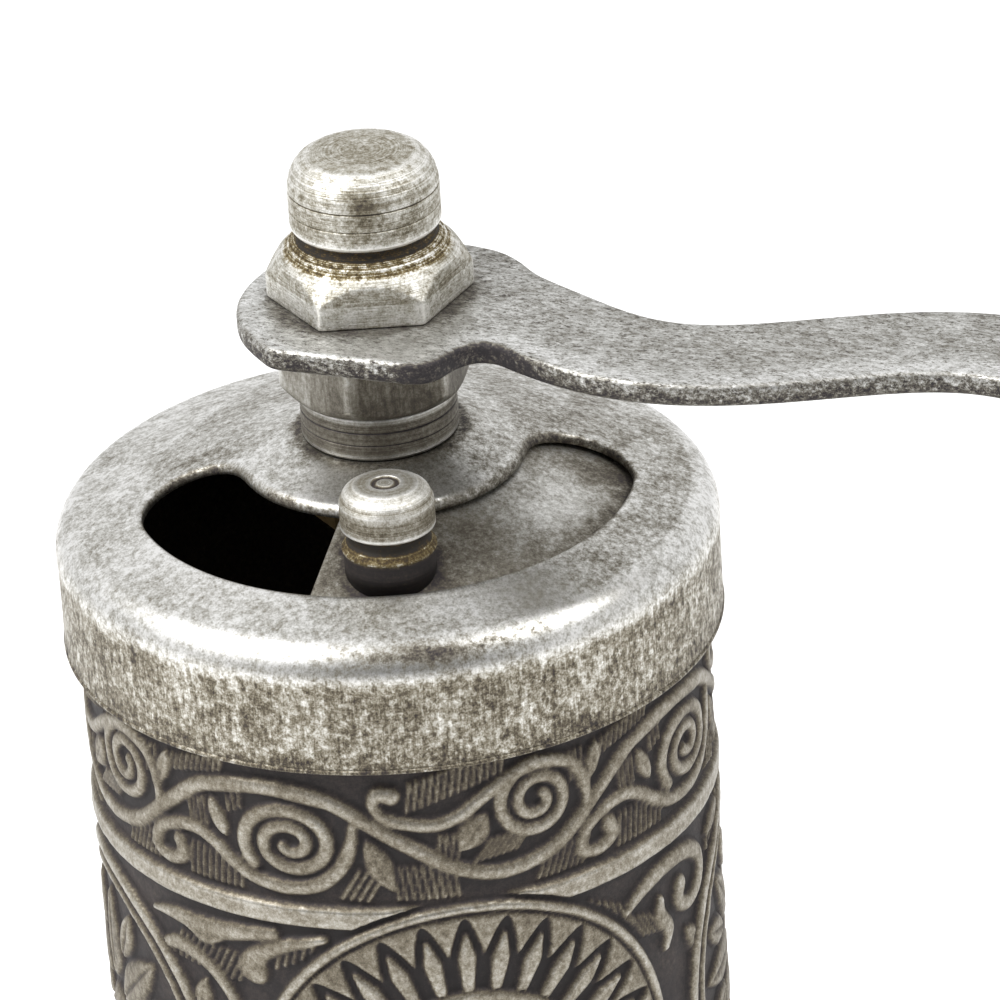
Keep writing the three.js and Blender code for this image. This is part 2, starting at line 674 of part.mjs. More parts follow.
// Hexagon with its lower corners turned off, square hole in line with the crank's.
function hexCollar() {
  const top = HEX_COLLAR_BOTTOM + HEX_COLLAR_HEIGHT;
  const hex = plate(polygonShape(HEXAGON, HEX_COLLAR_RADIUS), HEX_COLLAR_BOTTOM, top);
  const limit = HEX_COLLAR_RADIUS + LOOSE;
  const turnedLimit = turned([
    [0, HEX_COLLAR_BOTTOM],
    [limit - HEX_COLLAR_CHAMFER, HEX_COLLAR_BOTTOM],
    [limit, HEX_COLLAR_BOTTOM + HEX_COLLAR_CHAMFER],
    [limit, top],
    [0, top],
  ], FITTING_SIDES);
  const hole = squareBar(SQUARE_HOLE, HEX_COLLAR_BOTTOM - PAST, top + PAST)
    .applyMatrix4(new THREE.Matrix4().makeRotationZ(radians(CRANK_TURN_DEG - HEX_COLLAR_TURN_DEG)));
  return cut(common(hex, turnedLimit), hole);
}

// Middle line of the crank's arm: one S-curve that dies away towards the knob.
function armLine(x) {
  const [fadeFrom, fadeTo] = [0.6 * CRANK_LENGTH, 0.86 * CRANK_LENGTH];
  const fade = 1 - WAVE_FADE * THREE.MathUtils.smoothstep(x, fadeFrom, fadeTo);
  return -WAVE_DEPTH * fade * Math.sin((2 * Math.PI * (x - WAVE_START)) / WAVE_PERIOD);
}

// Points along one edge of the arm, from the eye to the boss. side is 1 or -1.
function armEdge(side) {
  const end = CRANK_LENGTH - BOSS_RADIUS;
  const steps = 14;
  const near = 0.01;
  const points = [];
  for (let step = 0; step <= steps; step += 1) {
    const x = ARM_START + ((end - ARM_START) * step) / steps;
    const slope = (armLine(x + near) - armLine(x - near)) / (2 * near);
    const length = Math.hypot(slope, 1);
    const halfWidth = THREE.MathUtils.lerp(ARM_HALF_WIDTH, ARM_END_HALF_WIDTH,
      THREE.MathUtils.smoothstep(x, 0.5 * CRANK_LENGTH, end));
    points.push(new THREE.Vector2(
      x - (side * halfWidth * slope) / length,
      armLine(x) + (side * halfWidth) / length,
    ));
  }
  return points;
}

// Smooth run of points through a few given ones.
function through(points, divisions) {
  return new THREE.SplineCurve(points).getPoints(divisions);
}

// Outline without points that lie on top of each other.
function outline(points) {
  const nearest = 0.05;
  const kept = points.filter((point, i) => point.distanceTo(points[(i + 1) % points.length]) > nearest);
  return new THREE.Shape(kept);
}

function crankShape() {
  const eye = (x, y) => new THREE.Vector2(x * EYE_RADIUS, y * EYE_RADIUS);
  const nearEdge = armEdge(-1);
  const farEdge = armEdge(1).reverse();
  const last = nearEdge[nearEdge.length - 1];
  const first = farEdge[0];
  const blend = 0.35;
  const boss = new THREE.EllipseCurve(CRANK_LENGTH, 0, BOSS_RADIUS, BOSS_RADIUS,
    Math.atan2(last.y, last.x - CRANK_LENGTH) + blend,
    Math.atan2(first.y, first.x - CRANK_LENGTH) - blend);
  const shape = outline([
    eye(-0.36, -1.2),
    ...through([eye(0.84, -1.15), eye(0.99, -1.04), eye(1.04, -0.85), eye(1.12, -0.7),
      eye(1.2, -0.64), nearEdge[0]], 10),
    ...nearEdge,
    ...boss.getPoints(14),
    ...farEdge,
    ...through([farEdge[farEdge.length - 1], eye(1.2, 0.62), eye(0.96, 0.81), eye(0.72, 0.95),
      eye(0.38, 1), eye(0, 1)], 9),
    ...through([eye(0, 1), eye(-0.52, 0.88), eye(-0.86, 0.52), eye(-0.99, 0), eye(-0.95, -0.46),
      eye(-0.74, -0.86), eye(-0.36, -1.2)], 11),
  ]);
  const squareHole = polygonShape(4, SQUARE_HOLE * Math.SQRT2, Math.PI / 4);
  shape.holes.push(new THREE.Path(squareHole.getPoints().slice(0, 4)));
  const pinHole = new THREE.EllipseCurve(CRANK_LENGTH, 0, KNOB_PIN_RADIUS + LOOSE, KNOB_PIN_RADIUS + LOOSE);
  shape.holes.push(new THREE.Path(pinHole.getPoints(SMALL_SIDES).slice(0, SMALL_SIDES)));
  return shape;
}

function crankArm() {
  return plate(crankShape(), CRANK_BOTTOM, CRANK_TOP, CRANK_EDGE, 5);
}

// Domed cap nut: chamfered hexagon, oily neck groove and a turned knob. The dome's
// rings are shares of the knob's radius, each with its depth below the top.
function capNut() {
  const hexTop = NUT_BOTTOM + NUT_HEX_HEIGHT;
  const top = NUT_BOTTOM + NUT_HEIGHT;
  const limit = NUT_CORNER_RADIUS + SEATED;
  const chamferRadius = NUT_KNOB_RADIUS + 0.3;
  const chamferStart = hexTop - (limit - chamferRadius);
  const groove = 1.1;
  const grooveEdge = 0.4;
  const domeRings = [[1, 2], [0.95, 1.2], [0.8, 0.5], [0.5, 0.1], [0, 0]];
  const dome = turned([
    [0, NUT_BOTTOM],
    [limit, NUT_BOTTOM],
    [limit, chamferStart],
    [chamferRadius, hexTop],
    [NUT_NECK_RADIUS, hexTop],
    [NUT_NECK_RADIUS, hexTop + groove],
    [NUT_KNOB_RADIUS, hexTop + groove + grooveEdge],
    ...domeRings.map(([share, depth]) => [share * NUT_KNOB_RADIUS, top - depth]),
  ], FITTING_SIDES);
  const hex = plate(polygonShape(HEXAGON, NUT_CORNER_RADIUS), NUT_BOTTOM, top + PAST);
  const hole = bar(SPINDLE_THREAD_RADIUS + LOOSE, NUT_BOTTOM - PAST, top - NUT_WALL, SMALL_SIDES);
  return cut(common(dome, hex), hole);
}

// Crank knob, turning on a riveted pin

const KNOB_BOTTOM = CRANK_TOP + SEATED + KNOB_WASHER_THICKNESS + SEATED;
const KNOB_TOP = KNOB_BOTTOM + KNOB_HEIGHT;
const KNOB_BORE_RADIUS = KNOB_PIN_RADIUS + LOOSE;
const KNOB_FOOT_RADIUS = KNOB_RADIUS * 0.62;
const KNOB_RECESS_RADIUS = KNOB_PIN_RADIUS + KNOB_PIN_HEAD_WIDTH + LOOSE;
const KNOB_RECESS_Z = KNOB_TOP - KNOB_PIN_HEAD_HEIGHT - KNOB_RECESS_FLOOR;

// The outside lists shares of the knob's radius and of its height, from its foot to its crown.
function crankKnob() {
  const outside = [[0.66, 0.06], [0.6, 0.13], [0.48, 0.2], [0.56, 0.3], [0.84, 0.44], [0.98, 0.58],
    [1, 0.68], [0.93, 0.82], [0.74, 0.94]];
  const rim = 0.4;
  return turnedRing([
    [KNOB_BORE_RADIUS, KNOB_BOTTOM],
    [KNOB_FOOT_RADIUS, KNOB_BOTTOM],
    ...outside.map(([radius, height]) => [radius * KNOB_RADIUS, KNOB_BOTTOM + height * KNOB_HEIGHT]),
    [KNOB_RECESS_RADIUS + rim, KNOB_TOP],
    [KNOB_RECESS_RADIUS, KNOB_TOP],
    [KNOB_RECESS_RADIUS, KNOB_RECESS_Z],
    [KNOB_BORE_RADIUS, KNOB_RECESS_Z],
  ], FITTING_SIDES);
}

// Pin with a set head under the arm and a riveted head in the knob's recess.
function knobPin() {
  const head = KNOB_PIN_RADIUS + KNOB_PIN_HEAD_WIDTH;
  const edge = 0.3;
  const dome = 0.8;
  const under = CRANK_BOTTOM - SEATED;
  const over = KNOB_RECESS_Z + LOOSE;
  return turned([
    [0, under - KNOB_PIN_HEAD_HEIGHT],
    [head - edge, under - KNOB_PIN_HEAD_HEIGHT],
    [head, under - edge],
    [head, under],
    [KNOB_PIN_RADIUS, under],
    [KNOB_PIN_RADIUS, over],
    [head, over],
    [head - dome, KNOB_TOP],
    [0, KNOB_TOP],
  ], SMALL_SIDES);
}

function knobWasher() {
  const bottom = CRANK_TOP + SEATED;
  return flatRing(KNOB_BORE_RADIUS, KNOB_FOOT_RADIUS, bottom, bottom + KNOB_WASHER_THICKNESS, SMALL_SIDES);
}

// Grinding set

// Ring in the casing's neck that holds the outer burr and funnels the spice into it.
function burrCarrier() {
  const grooveRadius = CARRIER_BORE_RADIUS + SNAP_RING_GROOVE;
  const ring = turnedRing([
    [CARRIER_BORE_RADIUS, CARRIER_BOTTOM],
    [CARRIER_RADIUS, CARRIER_BOTTOM],
    [CARRIER_RADIUS, CARRIER_SEAT],
    [CASING_BORE_RADIUS - LOOSE, CARRIER_SEAT],
    [CASING_BORE_RADIUS - LOOSE, CARRIER_TOP],
    [CARRIER_MOUTH_RADIUS, CARRIER_TOP],
    [CARRIER_THROAT_RADIUS, CARRIER_STEP_Z + CARRIER_STEP],
    [CARRIER_THROAT_RADIUS, CARRIER_STEP_Z],
    [CARRIER_BORE_RADIUS, CARRIER_STEP_Z],
    [CARRIER_BORE_RADIUS, SNAP_RING_TOP + SEATED],
    [grooveRadius, SNAP_RING_TOP + SEATED],
    [grooveRadius, SNAP_RING_BOTTOM - SEATED],
    [CARRIER_BORE_RADIUS, SNAP_RING_BOTTOM - SEATED],
  ], RING_SIDES);
  const holes = legAngles().map((angle) => atScrew(
    bar(SCREW_RADIUS + LOOSE, FOOT_TOP - SCREW_LENGTH - LOOSE, CARRIER_TOP + PAST, SCREW_SIDES),
    angle,
  ));
  return cut(ring, ...holes);
}

function snapRing() {
  const mouthDeg = 30;
  const outer = CARRIER_BORE_RADIUS + SNAP_RING_GROOVE - LOOSE / 2;
  return openRing(outer - SNAP_RING_WIDTH, outer, SNAP_RING_BOTTOM, SNAP_RING_TOP, mouthDeg);
}

// Outer burr: a ring with slanting teeth inside, narrowest where the fine teeth begin.
function outerBurr() {
  const pointsPerTooth = 3;
  const throat = CREST_RADIUS - OUTER_BURR_FLARE * (CREST_TOP_Z - OUTER_BURR_BOTTOM);
  const twist = radians(OUTER_TWIST_DEG);
  const rim = 0.3;
  const span = OUTER_BURR_TOP - OUTER_BURR_BOTTOM;
  const levels = [
    [OUTER_BURR_BOTTOM, CREST_RADIUS],
    [CREST_TOP_Z, throat],
    [OUTER_BURR_TOP - OUTER_BURR_MOUTH / 2, throat + OUTER_TOOTH_DEPTH / 2],
    [OUTER_BURR_TOP, CARRIER_THROAT_RADIUS - OUTER_TOOTH_DEPTH / 2],
  ];
  const toothShape = [0, 0.25, 1];
  return swept(OUTER_TEETH * pointsPerTooth, (column) => {
    const valley = toothShape[column % pointsPerTooth] * OUTER_TOOTH_DEPTH;
    const turnAt = (z) => (twist * (z - OUTER_BURR_BOTTOM)) / span;
    const inside = levels.slice().reverse().map(([z, radius]) => [
      Math.min(radius + valley, OUTER_BURR_RADIUS - rim), z, turnAt(z),
    ]);
    return [
      [OUTER_BURR_RADIUS, OUTER_BURR_BOTTOM, turnAt(OUTER_BURR_BOTTOM)],
      [OUTER_BURR_RADIUS, OUTER_BURR_TOP, turnAt(OUTER_BURR_TOP)],
      ...inside,
    ];
  });
}

// Inner burr: a cone with deep spiral breaking teeth above and shallow fine teeth below.
function innerBurr() {
  const pointsPerTooth = 4;
  const fineTop = BURR_BOTTOM + (CREST_TOP_Z - OUTER_BURR_BOTTOM);
  const fineTopRadius = BURR_RADIUS - OUTER_BURR_FLARE * (fineTop - BURR_BOTTOM);
  const coarseSteps = 5;
  const edge = 0.5;
  const deepest = 0.8;
  const belly = 0.5;
  const levels = [
    [BURR_BOTTOM, BURR_RADIUS - edge, FINE_TOOTH_DEPTH / 2],
    [BURR_BOTTOM + edge, BURR_RADIUS, FINE_TOOTH_DEPTH],
    [fineTop, fineTopRadius, FINE_TOOTH_DEPTH],
  ];
  for (let step = 1; step <= coarseSteps; step += 1) {
    const share = step / coarseSteps;
    const bulge = belly * Math.sin(Math.PI * share);
    levels.push([
      THREE.MathUtils.lerp(fineTop, BURR_TOP, share),
      THREE.MathUtils.lerp(fineTopRadius, INNER_BURR_TOP_RADIUS, share) + bulge,
      THREE.MathUtils.lerp(FINE_TOOTH_DEPTH, INNER_TOOTH_DEPTH, Math.sin(Math.PI * Math.min(share, deepest))),
    ]);
  }
  const toothShape = [0, 0.15, 1, 0.6];
  const span = BURR_TOP - BURR_BOTTOM;
  const cone = swept(INNER_TEETH * pointsPerTooth, (column) => {
    const valley = toothShape[column % pointsPerTooth];
    const outside = levels.map(([z, radius, depth]) => [
      radius - valley * depth, z, (radians(TOOTH_TWIST_DEG) * (z - BURR_BOTTOM)) / span,
    ]);
    return [[0, BURR_BOTTOM, 0], ...outside, [0, BURR_TOP, 0]];
  });
  return cut(cone, squareBar(SQUARE_HOLE, BURR_BOTTOM - PAST, BURR_TOP + PAST));
}

// Directions of the bridge's legs.
function legAngles() {
  const angles = [];
  for (let leg = 0; leg < BRIDGE_LEGS; leg += 1) {
    angles.push(radians(BRIDGE_TURN_DEG) + (2 * Math.PI * leg) / BRIDGE_LEGS);
  }
  return angles;
}

// Moves a piece from the axis to the screw circle, in the direction of a leg.
function atScrew(geometry, angle) {
  return geometry.translate(SCREW_CIRCLE_RADIUS, 0, 0).rotateZ(angle);
}

// Three-legged bridge over the burr, with the bearing hub for the spindle.
function spindleBridge() {
  const footInner = CARRIER_MOUTH_RADIUS + LOOSE;
  const footOuter = CASING_BORE_RADIUS - 2 * LOOSE;
  const footBottom = CARRIER_TOP + SEATED;
  const hubSide = BRIDGE_HUB_RADIUS - 1;
  const knee = SCREW_CIRCLE_RADIUS - SCREW_HEAD_RADIUS - LOOSE;
  const legThickness = 1.5;
  const edge = 0.5;
  const kneeRise = 1;
  const side = new THREE.Shape([
    new THREE.Vector2(hubSide, HUB_BOTTOM + edge),
    new THREE.Vector2(knee - legThickness, FOOT_TOP),
    new THREE.Vector2(footInner, footBottom),
    new THREE.Vector2(footOuter, footBottom),
    new THREE.Vector2(footOuter, FOOT_TOP),
    new THREE.Vector2(knee, FOOT_TOP),
    new THREE.Vector2(knee - edge, FOOT_TOP + kneeRise),
    new THREE.Vector2(hubSide, HUB_TOP - edge),
  ]);
  const bore = bar(SPINDLE_RADIUS + LOOSE, HUB_BOTTOM - PAST, HUB_TOP + PAST, FITTING_SIDES);
  const hub = turned([
    [0, HUB_BOTTOM],
    [BRIDGE_HUB_RADIUS - edge, HUB_BOTTOM],
    [BRIDGE_HUB_RADIUS, HUB_BOTTOM + edge],
    [BRIDGE_HUB_RADIUS, HUB_TOP - edge],
    [BRIDGE_HUB_RADIUS - edge, HUB_TOP],
    [0, HUB_TOP],
  ], FITTING_SIDES);
  const legs = legAngles().map((angle) => plate(side, -BRIDGE_LEG_WIDTH / 2, BRIDGE_LEG_WIDTH / 2)
    .rotateX(Math.PI / 2)
    .rotateZ(angle));
  const holes = legAngles().map((angle) => atScrew(
    bar(SCREW_RADIUS + LOOSE, footBottom - PAST, FOOT_TOP + PAST, SCREW_SIDES),
    angle,
  ));
  return cut(join(hub, ...legs), bore, ...holes);
}

function bridgeScrew(angle) {
  const seat = FOOT_TOP + SEATED;
  const crown = 0.45;
  const screw = turned([
    [0, FOOT_TOP - SCREW_LENGTH],
    [SCREW_RADIUS, FOOT_TOP - SCREW_LENGTH],
    [SCREW_RADIUS, seat],
    [SCREW_HEAD_RADIUS, seat],
    [SCREW_HEAD_RADIUS, seat + SCREW_HEAD_HEIGHT - crown],
    [SCREW_HEAD_RADIUS - crown, seat + SCREW_HEAD_HEIGHT],
    [0, seat + SCREW_HEAD_HEIGHT],
  ], SCREW_SIDES);
  return atScrew(screw, angle);
}

function springSeat() {
  const top = SPRING_SEAT_BOTTOM + SPRING_SEAT_THICKNESS;
  const disc = bar(SPRING_SEAT_RADIUS, SPRING_SEAT_BOTTOM, top, FITTING_SIDES);
  return cut(disc, squareBar(SQUARE_HOLE, SPRING_SEAT_BOTTOM - PAST, top + PAST));
}

// Helix of the burr spring.
class SpringLine extends THREE.Curve {
  getPoint(t, target = new THREE.Vector3()) {
    const bottom = BURR_TOP + SPRING_WIRE_RADIUS + SEATED;
    const top = SPRING_SEAT_BOTTOM - SPRING_WIRE_RADIUS - SEATED;
    const angle = 2 * Math.PI * SPRING_TURNS * t;
    return target.set(
      SPRING_RADIUS * Math.cos(angle),
      SPRING_RADIUS * Math.sin(angle),
      THREE.MathUtils.lerp(bottom, top, t),
    );
  }
}

function burrSpring() {
  const stepsPerTurn = 10;
  const wireSides = 5;
  const section = polygonShape(wireSides, SPRING_WIRE_RADIUS);
  return weld(new THREE.ExtrudeGeometry(section, {
    steps: SPRING_TURNS * stepsPerTurn,
    extrudePath: new SpringLine(),
  }));
}

function thrustWasher() {
  const bottom = THRUST_WASHER_TOP - THRUST_WASHER_THICKNESS;
  return flatRing(SPINDLE_RADIUS + LOOSE, THRUST_WASHER_RADIUS, bottom, THRUST_WASHER_TOP, FITTING_SIDES);
}

// Nut with finger scallops that sets how high the inner burr sits.
function adjustingNut() {
  const pointsPerScallop = 4;
  const columns = ADJUSTER_SCALLOPS * pointsPerScallop;
  const bore = SPINDLE_THREAD_RADIUS + LOOSE;
  const edge = 0.6;
  const step = ADJUSTER_TOP - 1;
  return swept(columns, (column) => {
    const phase = (2 * Math.PI * ADJUSTER_SCALLOPS * column) / columns;
    const rim = ADJUSTER_RADIUS - ADJUSTER_SCALLOP_DEPTH * (0.5 + 0.5 * Math.cos(phase));
    return [
      [bore, ADJUSTER_BOTTOM, 0],
      [rim - edge, ADJUSTER_BOTTOM, 0],
      [rim, ADJUSTER_BOTTOM + edge, 0],
      [rim, step, 0],
      [THRUST_WASHER_RADIUS, step, 0],
      [THRUST_WASHER_RADIUS, ADJUSTER_TOP, 0],
      [bore, ADJUSTER_TOP, 0],
    ];
  });
}

// Assembly

function piece(name, geometry, finish) {
  const mesh = new THREE.Mesh(geometry, new THREE.MeshStandardMaterial(finish));
  mesh.name = name;
  return mesh;
}

// Everything in it turns with the crank and is drawn with the arm along +X.
function crankGroup() {
  const group = new THREE.Group();
  group.rotation.z = radians(CRANK_TURN_DEG);
  group.add(piece('crank_arm', crankArm(), WORN_PEWTER));
  const handle = new THREE.Group();
  handle.position.x = CRANK_LENGTH;
  handle.add(
    piece('knob_washer', knobWasher(), STEEL),
    piece('knob_pin', knobPin(), STEEL),
    piece('crank_knob', crankKnob(), WORN_PEWTER),
  );
  group.add(handle);
  return group;
}

function grinder() {
  const group = new THREE.Group();
  const collar = piece('hex_collar', hexCollar(), PEWTER);
  collar.rotation.z = radians(HEX_COLLAR_TURN_DEG);
  group.add(
    piece('receiving_cup', receivingCup(), PEWTER),
    piece('hopper_shell', hopperShell(), PEWTER),
    piece('lid', lid(), WORN_PEWTER),
    piece('shutter_plate', shutterPlate(), WORN_PEWTER),
    piece('shutter_knob', shutterKnob(), WORN_PEWTER),
    piece('top_bush', topBush(), PEWTER),
    piece('friction_washer', frictionWasher(), SPRING_STEEL),
    piece('bush_nut', bushNut(), BRASS),
    piece('spindle', spindle(), STEEL),
    piece('spindle_clip', spindleClip(), SPRING_STEEL),
    collar,
    piece('cap_nut', capNut(), PEWTER),
    piece('burr_carrier', burrCarrier(), BRASS),
    piece('burr_snap_ring', snapRing(), SPRING_STEEL),
    piece('outer_burr', outerBurr(), HARD_STEEL),
    piece('inner_burr', innerBurr(), HARD_STEEL),
    piece('spindle_bridge', spindleBridge(), BRASS),
    piece('spring_seat', springSeat(), STEEL),
    piece('burr_spring', burrSpring(), SPRING_STEEL),
    piece('thrust_washer', thrustWasher(), STEEL),
    piece('adjusting_nut', adjustingNut(), BRASS),
    crankGroup(),
  );
  legAngles().forEach((angle, leg) => {
    group.add(piece(`bridge_screw_${leg + 1}`, bridgeScrew(angle), STEEL));
  });
  return group;
}

export default grinder();
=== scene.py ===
import math

import bpy
import numpy as np
from mathutils import Matrix, Vector
from mathutils.geometry import delaunay_2d_cdt


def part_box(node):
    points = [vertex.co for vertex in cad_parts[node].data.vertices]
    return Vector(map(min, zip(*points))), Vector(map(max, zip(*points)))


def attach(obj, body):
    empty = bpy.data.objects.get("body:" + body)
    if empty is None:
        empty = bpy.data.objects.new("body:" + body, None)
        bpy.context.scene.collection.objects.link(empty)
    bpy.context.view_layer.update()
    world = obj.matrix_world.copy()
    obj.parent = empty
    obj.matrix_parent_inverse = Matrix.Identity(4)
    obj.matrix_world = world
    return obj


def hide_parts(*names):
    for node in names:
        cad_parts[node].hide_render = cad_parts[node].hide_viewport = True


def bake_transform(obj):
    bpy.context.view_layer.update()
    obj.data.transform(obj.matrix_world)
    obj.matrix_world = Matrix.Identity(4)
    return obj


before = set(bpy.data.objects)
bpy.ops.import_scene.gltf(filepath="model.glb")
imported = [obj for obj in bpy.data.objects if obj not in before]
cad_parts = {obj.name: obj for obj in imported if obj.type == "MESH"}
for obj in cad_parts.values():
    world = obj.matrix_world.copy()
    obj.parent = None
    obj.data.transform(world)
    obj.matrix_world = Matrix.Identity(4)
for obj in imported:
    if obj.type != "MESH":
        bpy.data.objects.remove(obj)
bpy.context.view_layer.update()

MM = 0.001
TAU = 2 * math.pi


def span(node):
    """Lowest and highest z of a node."""
    low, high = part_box(node)
    return low[2] / MM, high[2] / MM


# Main sizes, read from the frame where a node shows them
CUP_TOP = span("receiving_cup")[1]
CASING_TOP = span("hopper_shell")[1]
LID_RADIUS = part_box("lid")[1][0] / MM
SKIRT_BOTTOM = span("lid")[0]
SKIRT_HEIGHT = 8.44
SHOULDER = SKIRT_BOTTOM + SKIRT_HEIGHT
BUTTON_TOP = span("shutter_knob")[1]
BUSH_BOTTOM, BUSH_TOP = span("top_bush")
COLLAR_BOTTOM, COLLAR_TOP = span("hex_collar")
CRANK_BOTTOM, CRANK_TOP = span("crank_arm")
NUT_BOTTOM, NUT_TOP = span("cap_nut")
KNOB_BOTTOM, KNOB_TOP = span("crank_knob")

GROUND = 19.65
RELIEF_LIMIT = 20.19
BAND_RELIEF = 0.5
BAND_HEIGHT = 1.7
FRIEZE_FOOT = SHOULDER - 18.4
FOOT_TOP = 8.4
CONE_SLOPE = 0.335
CONE_EDGE = 20.13
LAND = 5.6
LID_FILLET = 2.4
LID_BEAD = 0.17
SKIRT_INSET = 0.07
SHEET = 0.65
SHEET_DROP = SHEET * math.hypot(1, CONE_SLOPE)
SHUTTER_DROP = SHEET_DROP + 0.27
SPINDLE_HOLE = 4.5
SQUARE_HALF = 2.492
SLOT_RADIUS = 12.45
SLOT_HALF_WIDTH = 3.35
SLOT_MIDDLE = math.radians(-86)
SLOT_HALF_SPAN = math.radians(77)
BUTTON_ANGLE = math.radians(-89)
BUTTON_MIDDLE = SLOT_RADIUS * np.array([math.cos(BUTTON_ANGLE), math.sin(BUTTON_ANGLE)])
BUTTON_HEIGHT = 5.7
BUSH_FOOT = 87.92
HEX_HEIGHT = 3.3
CRANK_TURN = math.radians(-24)
COLLAR_TURN = math.radians(13.4)


def cone_height(radius):
    """Height of the lid's outer cone, with its flat land round the bush."""
    return SHOULDER + (CONE_EDGE - np.maximum(radius, LAND)) * CONE_SLOPE


# Number tools

def bell(x, middle, width):
    """1 at the middle, falling off softly on both sides."""
    return np.exp(-((x - middle) / width) ** 2)


def rise(x, start, length):
    """0 up to the start, then straight up to 1 over the length, which may be negative."""
    return np.clip((x - start) / length, 0, 1)


def polar(radius, angle, centre=(0.0, 0.0)):
    """Points at a distance and an angle from a centre."""
    return np.stack([centre[0] + radius * np.cos(angle), centre[1] + radius * np.sin(angle)], -1)


def around(count):
    """Even angles round a full turn."""
    return np.arange(count) * TAU / count


def circle(radius, count, centre=(0, 0)):
    return polar(radius, around(count), centre)


def from_front(angle):
    """Angle counted from the side that faces the camera."""
    return (angle + math.pi / 2 + math.pi) % TAU - math.pi


def run_length(line):
    """Length along a line up to each of its points."""
    return np.concatenate([[0], np.cumsum(np.hypot(*np.diff(line, axis=0).T))])


def blur(field, sigma, axis, wrap):
    reach = max(1, int(3 * sigma))
    taps = np.arange(-reach, reach + 1)
    weights = np.exp(-0.5 * (taps / sigma) ** 2)
    weights /= weights.sum()
    size = field.shape[axis]
    out = np.zeros_like(field)
    for tap, weight in zip(taps, weights):
        place = np.arange(size) + tap
        place = place % size if wrap else np.clip(place, 0, size - 1)
        out += weight * np.take(field, place, axis)
    return out


def blur_strip(field, sigma):
    """Softens a strip that closes in x."""
    return blur(blur(field, sigma, 1, True), sigma, 0, False)


def spline(points, count):
    """A smooth run through a few points, the same kind of curve as in the CAD source."""
    points = np.asarray(points, float)
    last = len(points) - 1
    t = np.linspace(0, last, count)
    whole = np.minimum(t.astype(int), last - 1)
    t = (t - whole)[:, None]
    p = [points[np.clip(whole + k, 0, last)] for k in (-1, 0, 1, 2)]
    v0, v1 = (p[2] - p[0]) / 2, (p[3] - p[1]) / 2
    return ((2 * p[1] - 2 * p[2] + v0 + v1) * t ** 3
            + (-3 * p[1] + 3 * p[2] - 2 * v0 - v1) * t ** 2 + v0 * t + p[1])


# Mesh tools

def add_object(name, data):
    made = bpy.data.objects.new(name, data)
    bpy.context.scene.collection.objects.link(made)
    return made


def make_piece(name, points, quads, triangles, wear_and_light, uv=None):
    """An object from arrays: points, faces, wear per point and UVs per face corner. Points
    that no face uses are left out."""
    used, corners = np.unique(np.concatenate([quads.ravel(), triangles.ravel()]), return_inverse=True)
    starts = np.concatenate([np.arange(len(quads)) * 4, len(quads) * 4 + np.arange(len(triangles)) * 3])
    mesh = bpy.data.meshes.new(name)
    mesh.vertices.add(len(used))
    mesh.vertices.foreach_set("co", (points[used] * MM).astype(np.float32).ravel())
    mesh.loops.add(len(corners))
    mesh.loops.foreach_set("vertex_index", corners.astype(np.int32))
    mesh.polygons.add(len(starts))
    mesh.polygons.foreach_set("loop_start", starts.astype(np.int32))
    # Per-point value that drives the colour: real rubbing and patina, and on some pieces painted
    # highlights, shade and reflections.
    attribute = mesh.attributes.new("wear_and_light", "FLOAT", "POINT")
    attribute.data.foreach_set("value", np.clip(wear_and_light[used], 0, 1).astype(np.float32))
    if uv is not None:
        mesh.uv_layers.new(name="OFBake").data.foreach_set("uv", uv.astype(np.float32).ravel())
    mesh.update(calc_edges=True)
    mesh.validate()
    mesh.shade_smooth()
    return add_object(name, mesh)


def even_rows(rows, columns):
    """One array per kind of number, from rows that hold one number or one per column."""
    return [np.array([np.broadcast_to(value, columns) for value in kind], float) for kind in zip(*rows)]


def grid_piece(name, radius, height, wear_and_light, closed=True, turn=0.0, centre=(0.0, 0.0)):
    """A skin round an upright axis. Rows go up along the outside and down along the inside;
    a row of radius 0 is a point on the axis."""
    rows, columns = radius.shape
    height = np.broadcast_to(height, radius.shape)[..., None]
    points = np.concatenate([polar(radius, around(columns) + turn, centre), height], -1)
    index = np.arange(rows * columns).reshape(rows, columns)
    pole = radius.max(axis=1) < 1e-6
    index[pole] = index[pole][:, :1]
    u0 = np.arange(columns) / columns
    u1 = u0 + 1 / columns
    faces, uv = {3: [np.zeros((0, 3), int)], 4: []}, {3: [], 4: []}
    for i in range(rows if closed else rows - 1):
        j = (i + 1) % rows
        v0, v1 = np.full(columns, i / rows), np.full(columns, (i + 1) / rows)
        corners = [(index[i], u0, v0), (np.roll(index[i], -1), u1, v0),
                   (np.roll(index[j], -1), u1, v1), (index[j], u0, v1)]
        if pole[i] and pole[j]:
            continue
        if pole[i]:
            del corners[1]
        elif pole[j]:
            del corners[2]
        faces[len(corners)].append(np.stack([corner[0] for corner in corners], -1))
        uv[len(corners)].append(np.stack([np.stack(corner[1:], -1) for corner in corners], 1))
    return make_piece(name, points.reshape(-1, 3), np.concatenate(faces[4]), np.concatenate(faces[3]),
                      np.broadcast_to(wear_and_light, radius.shape).ravel(),
                      np.concatenate([part.reshape(-1, 2) for part in uv[4] + uv[3]]))


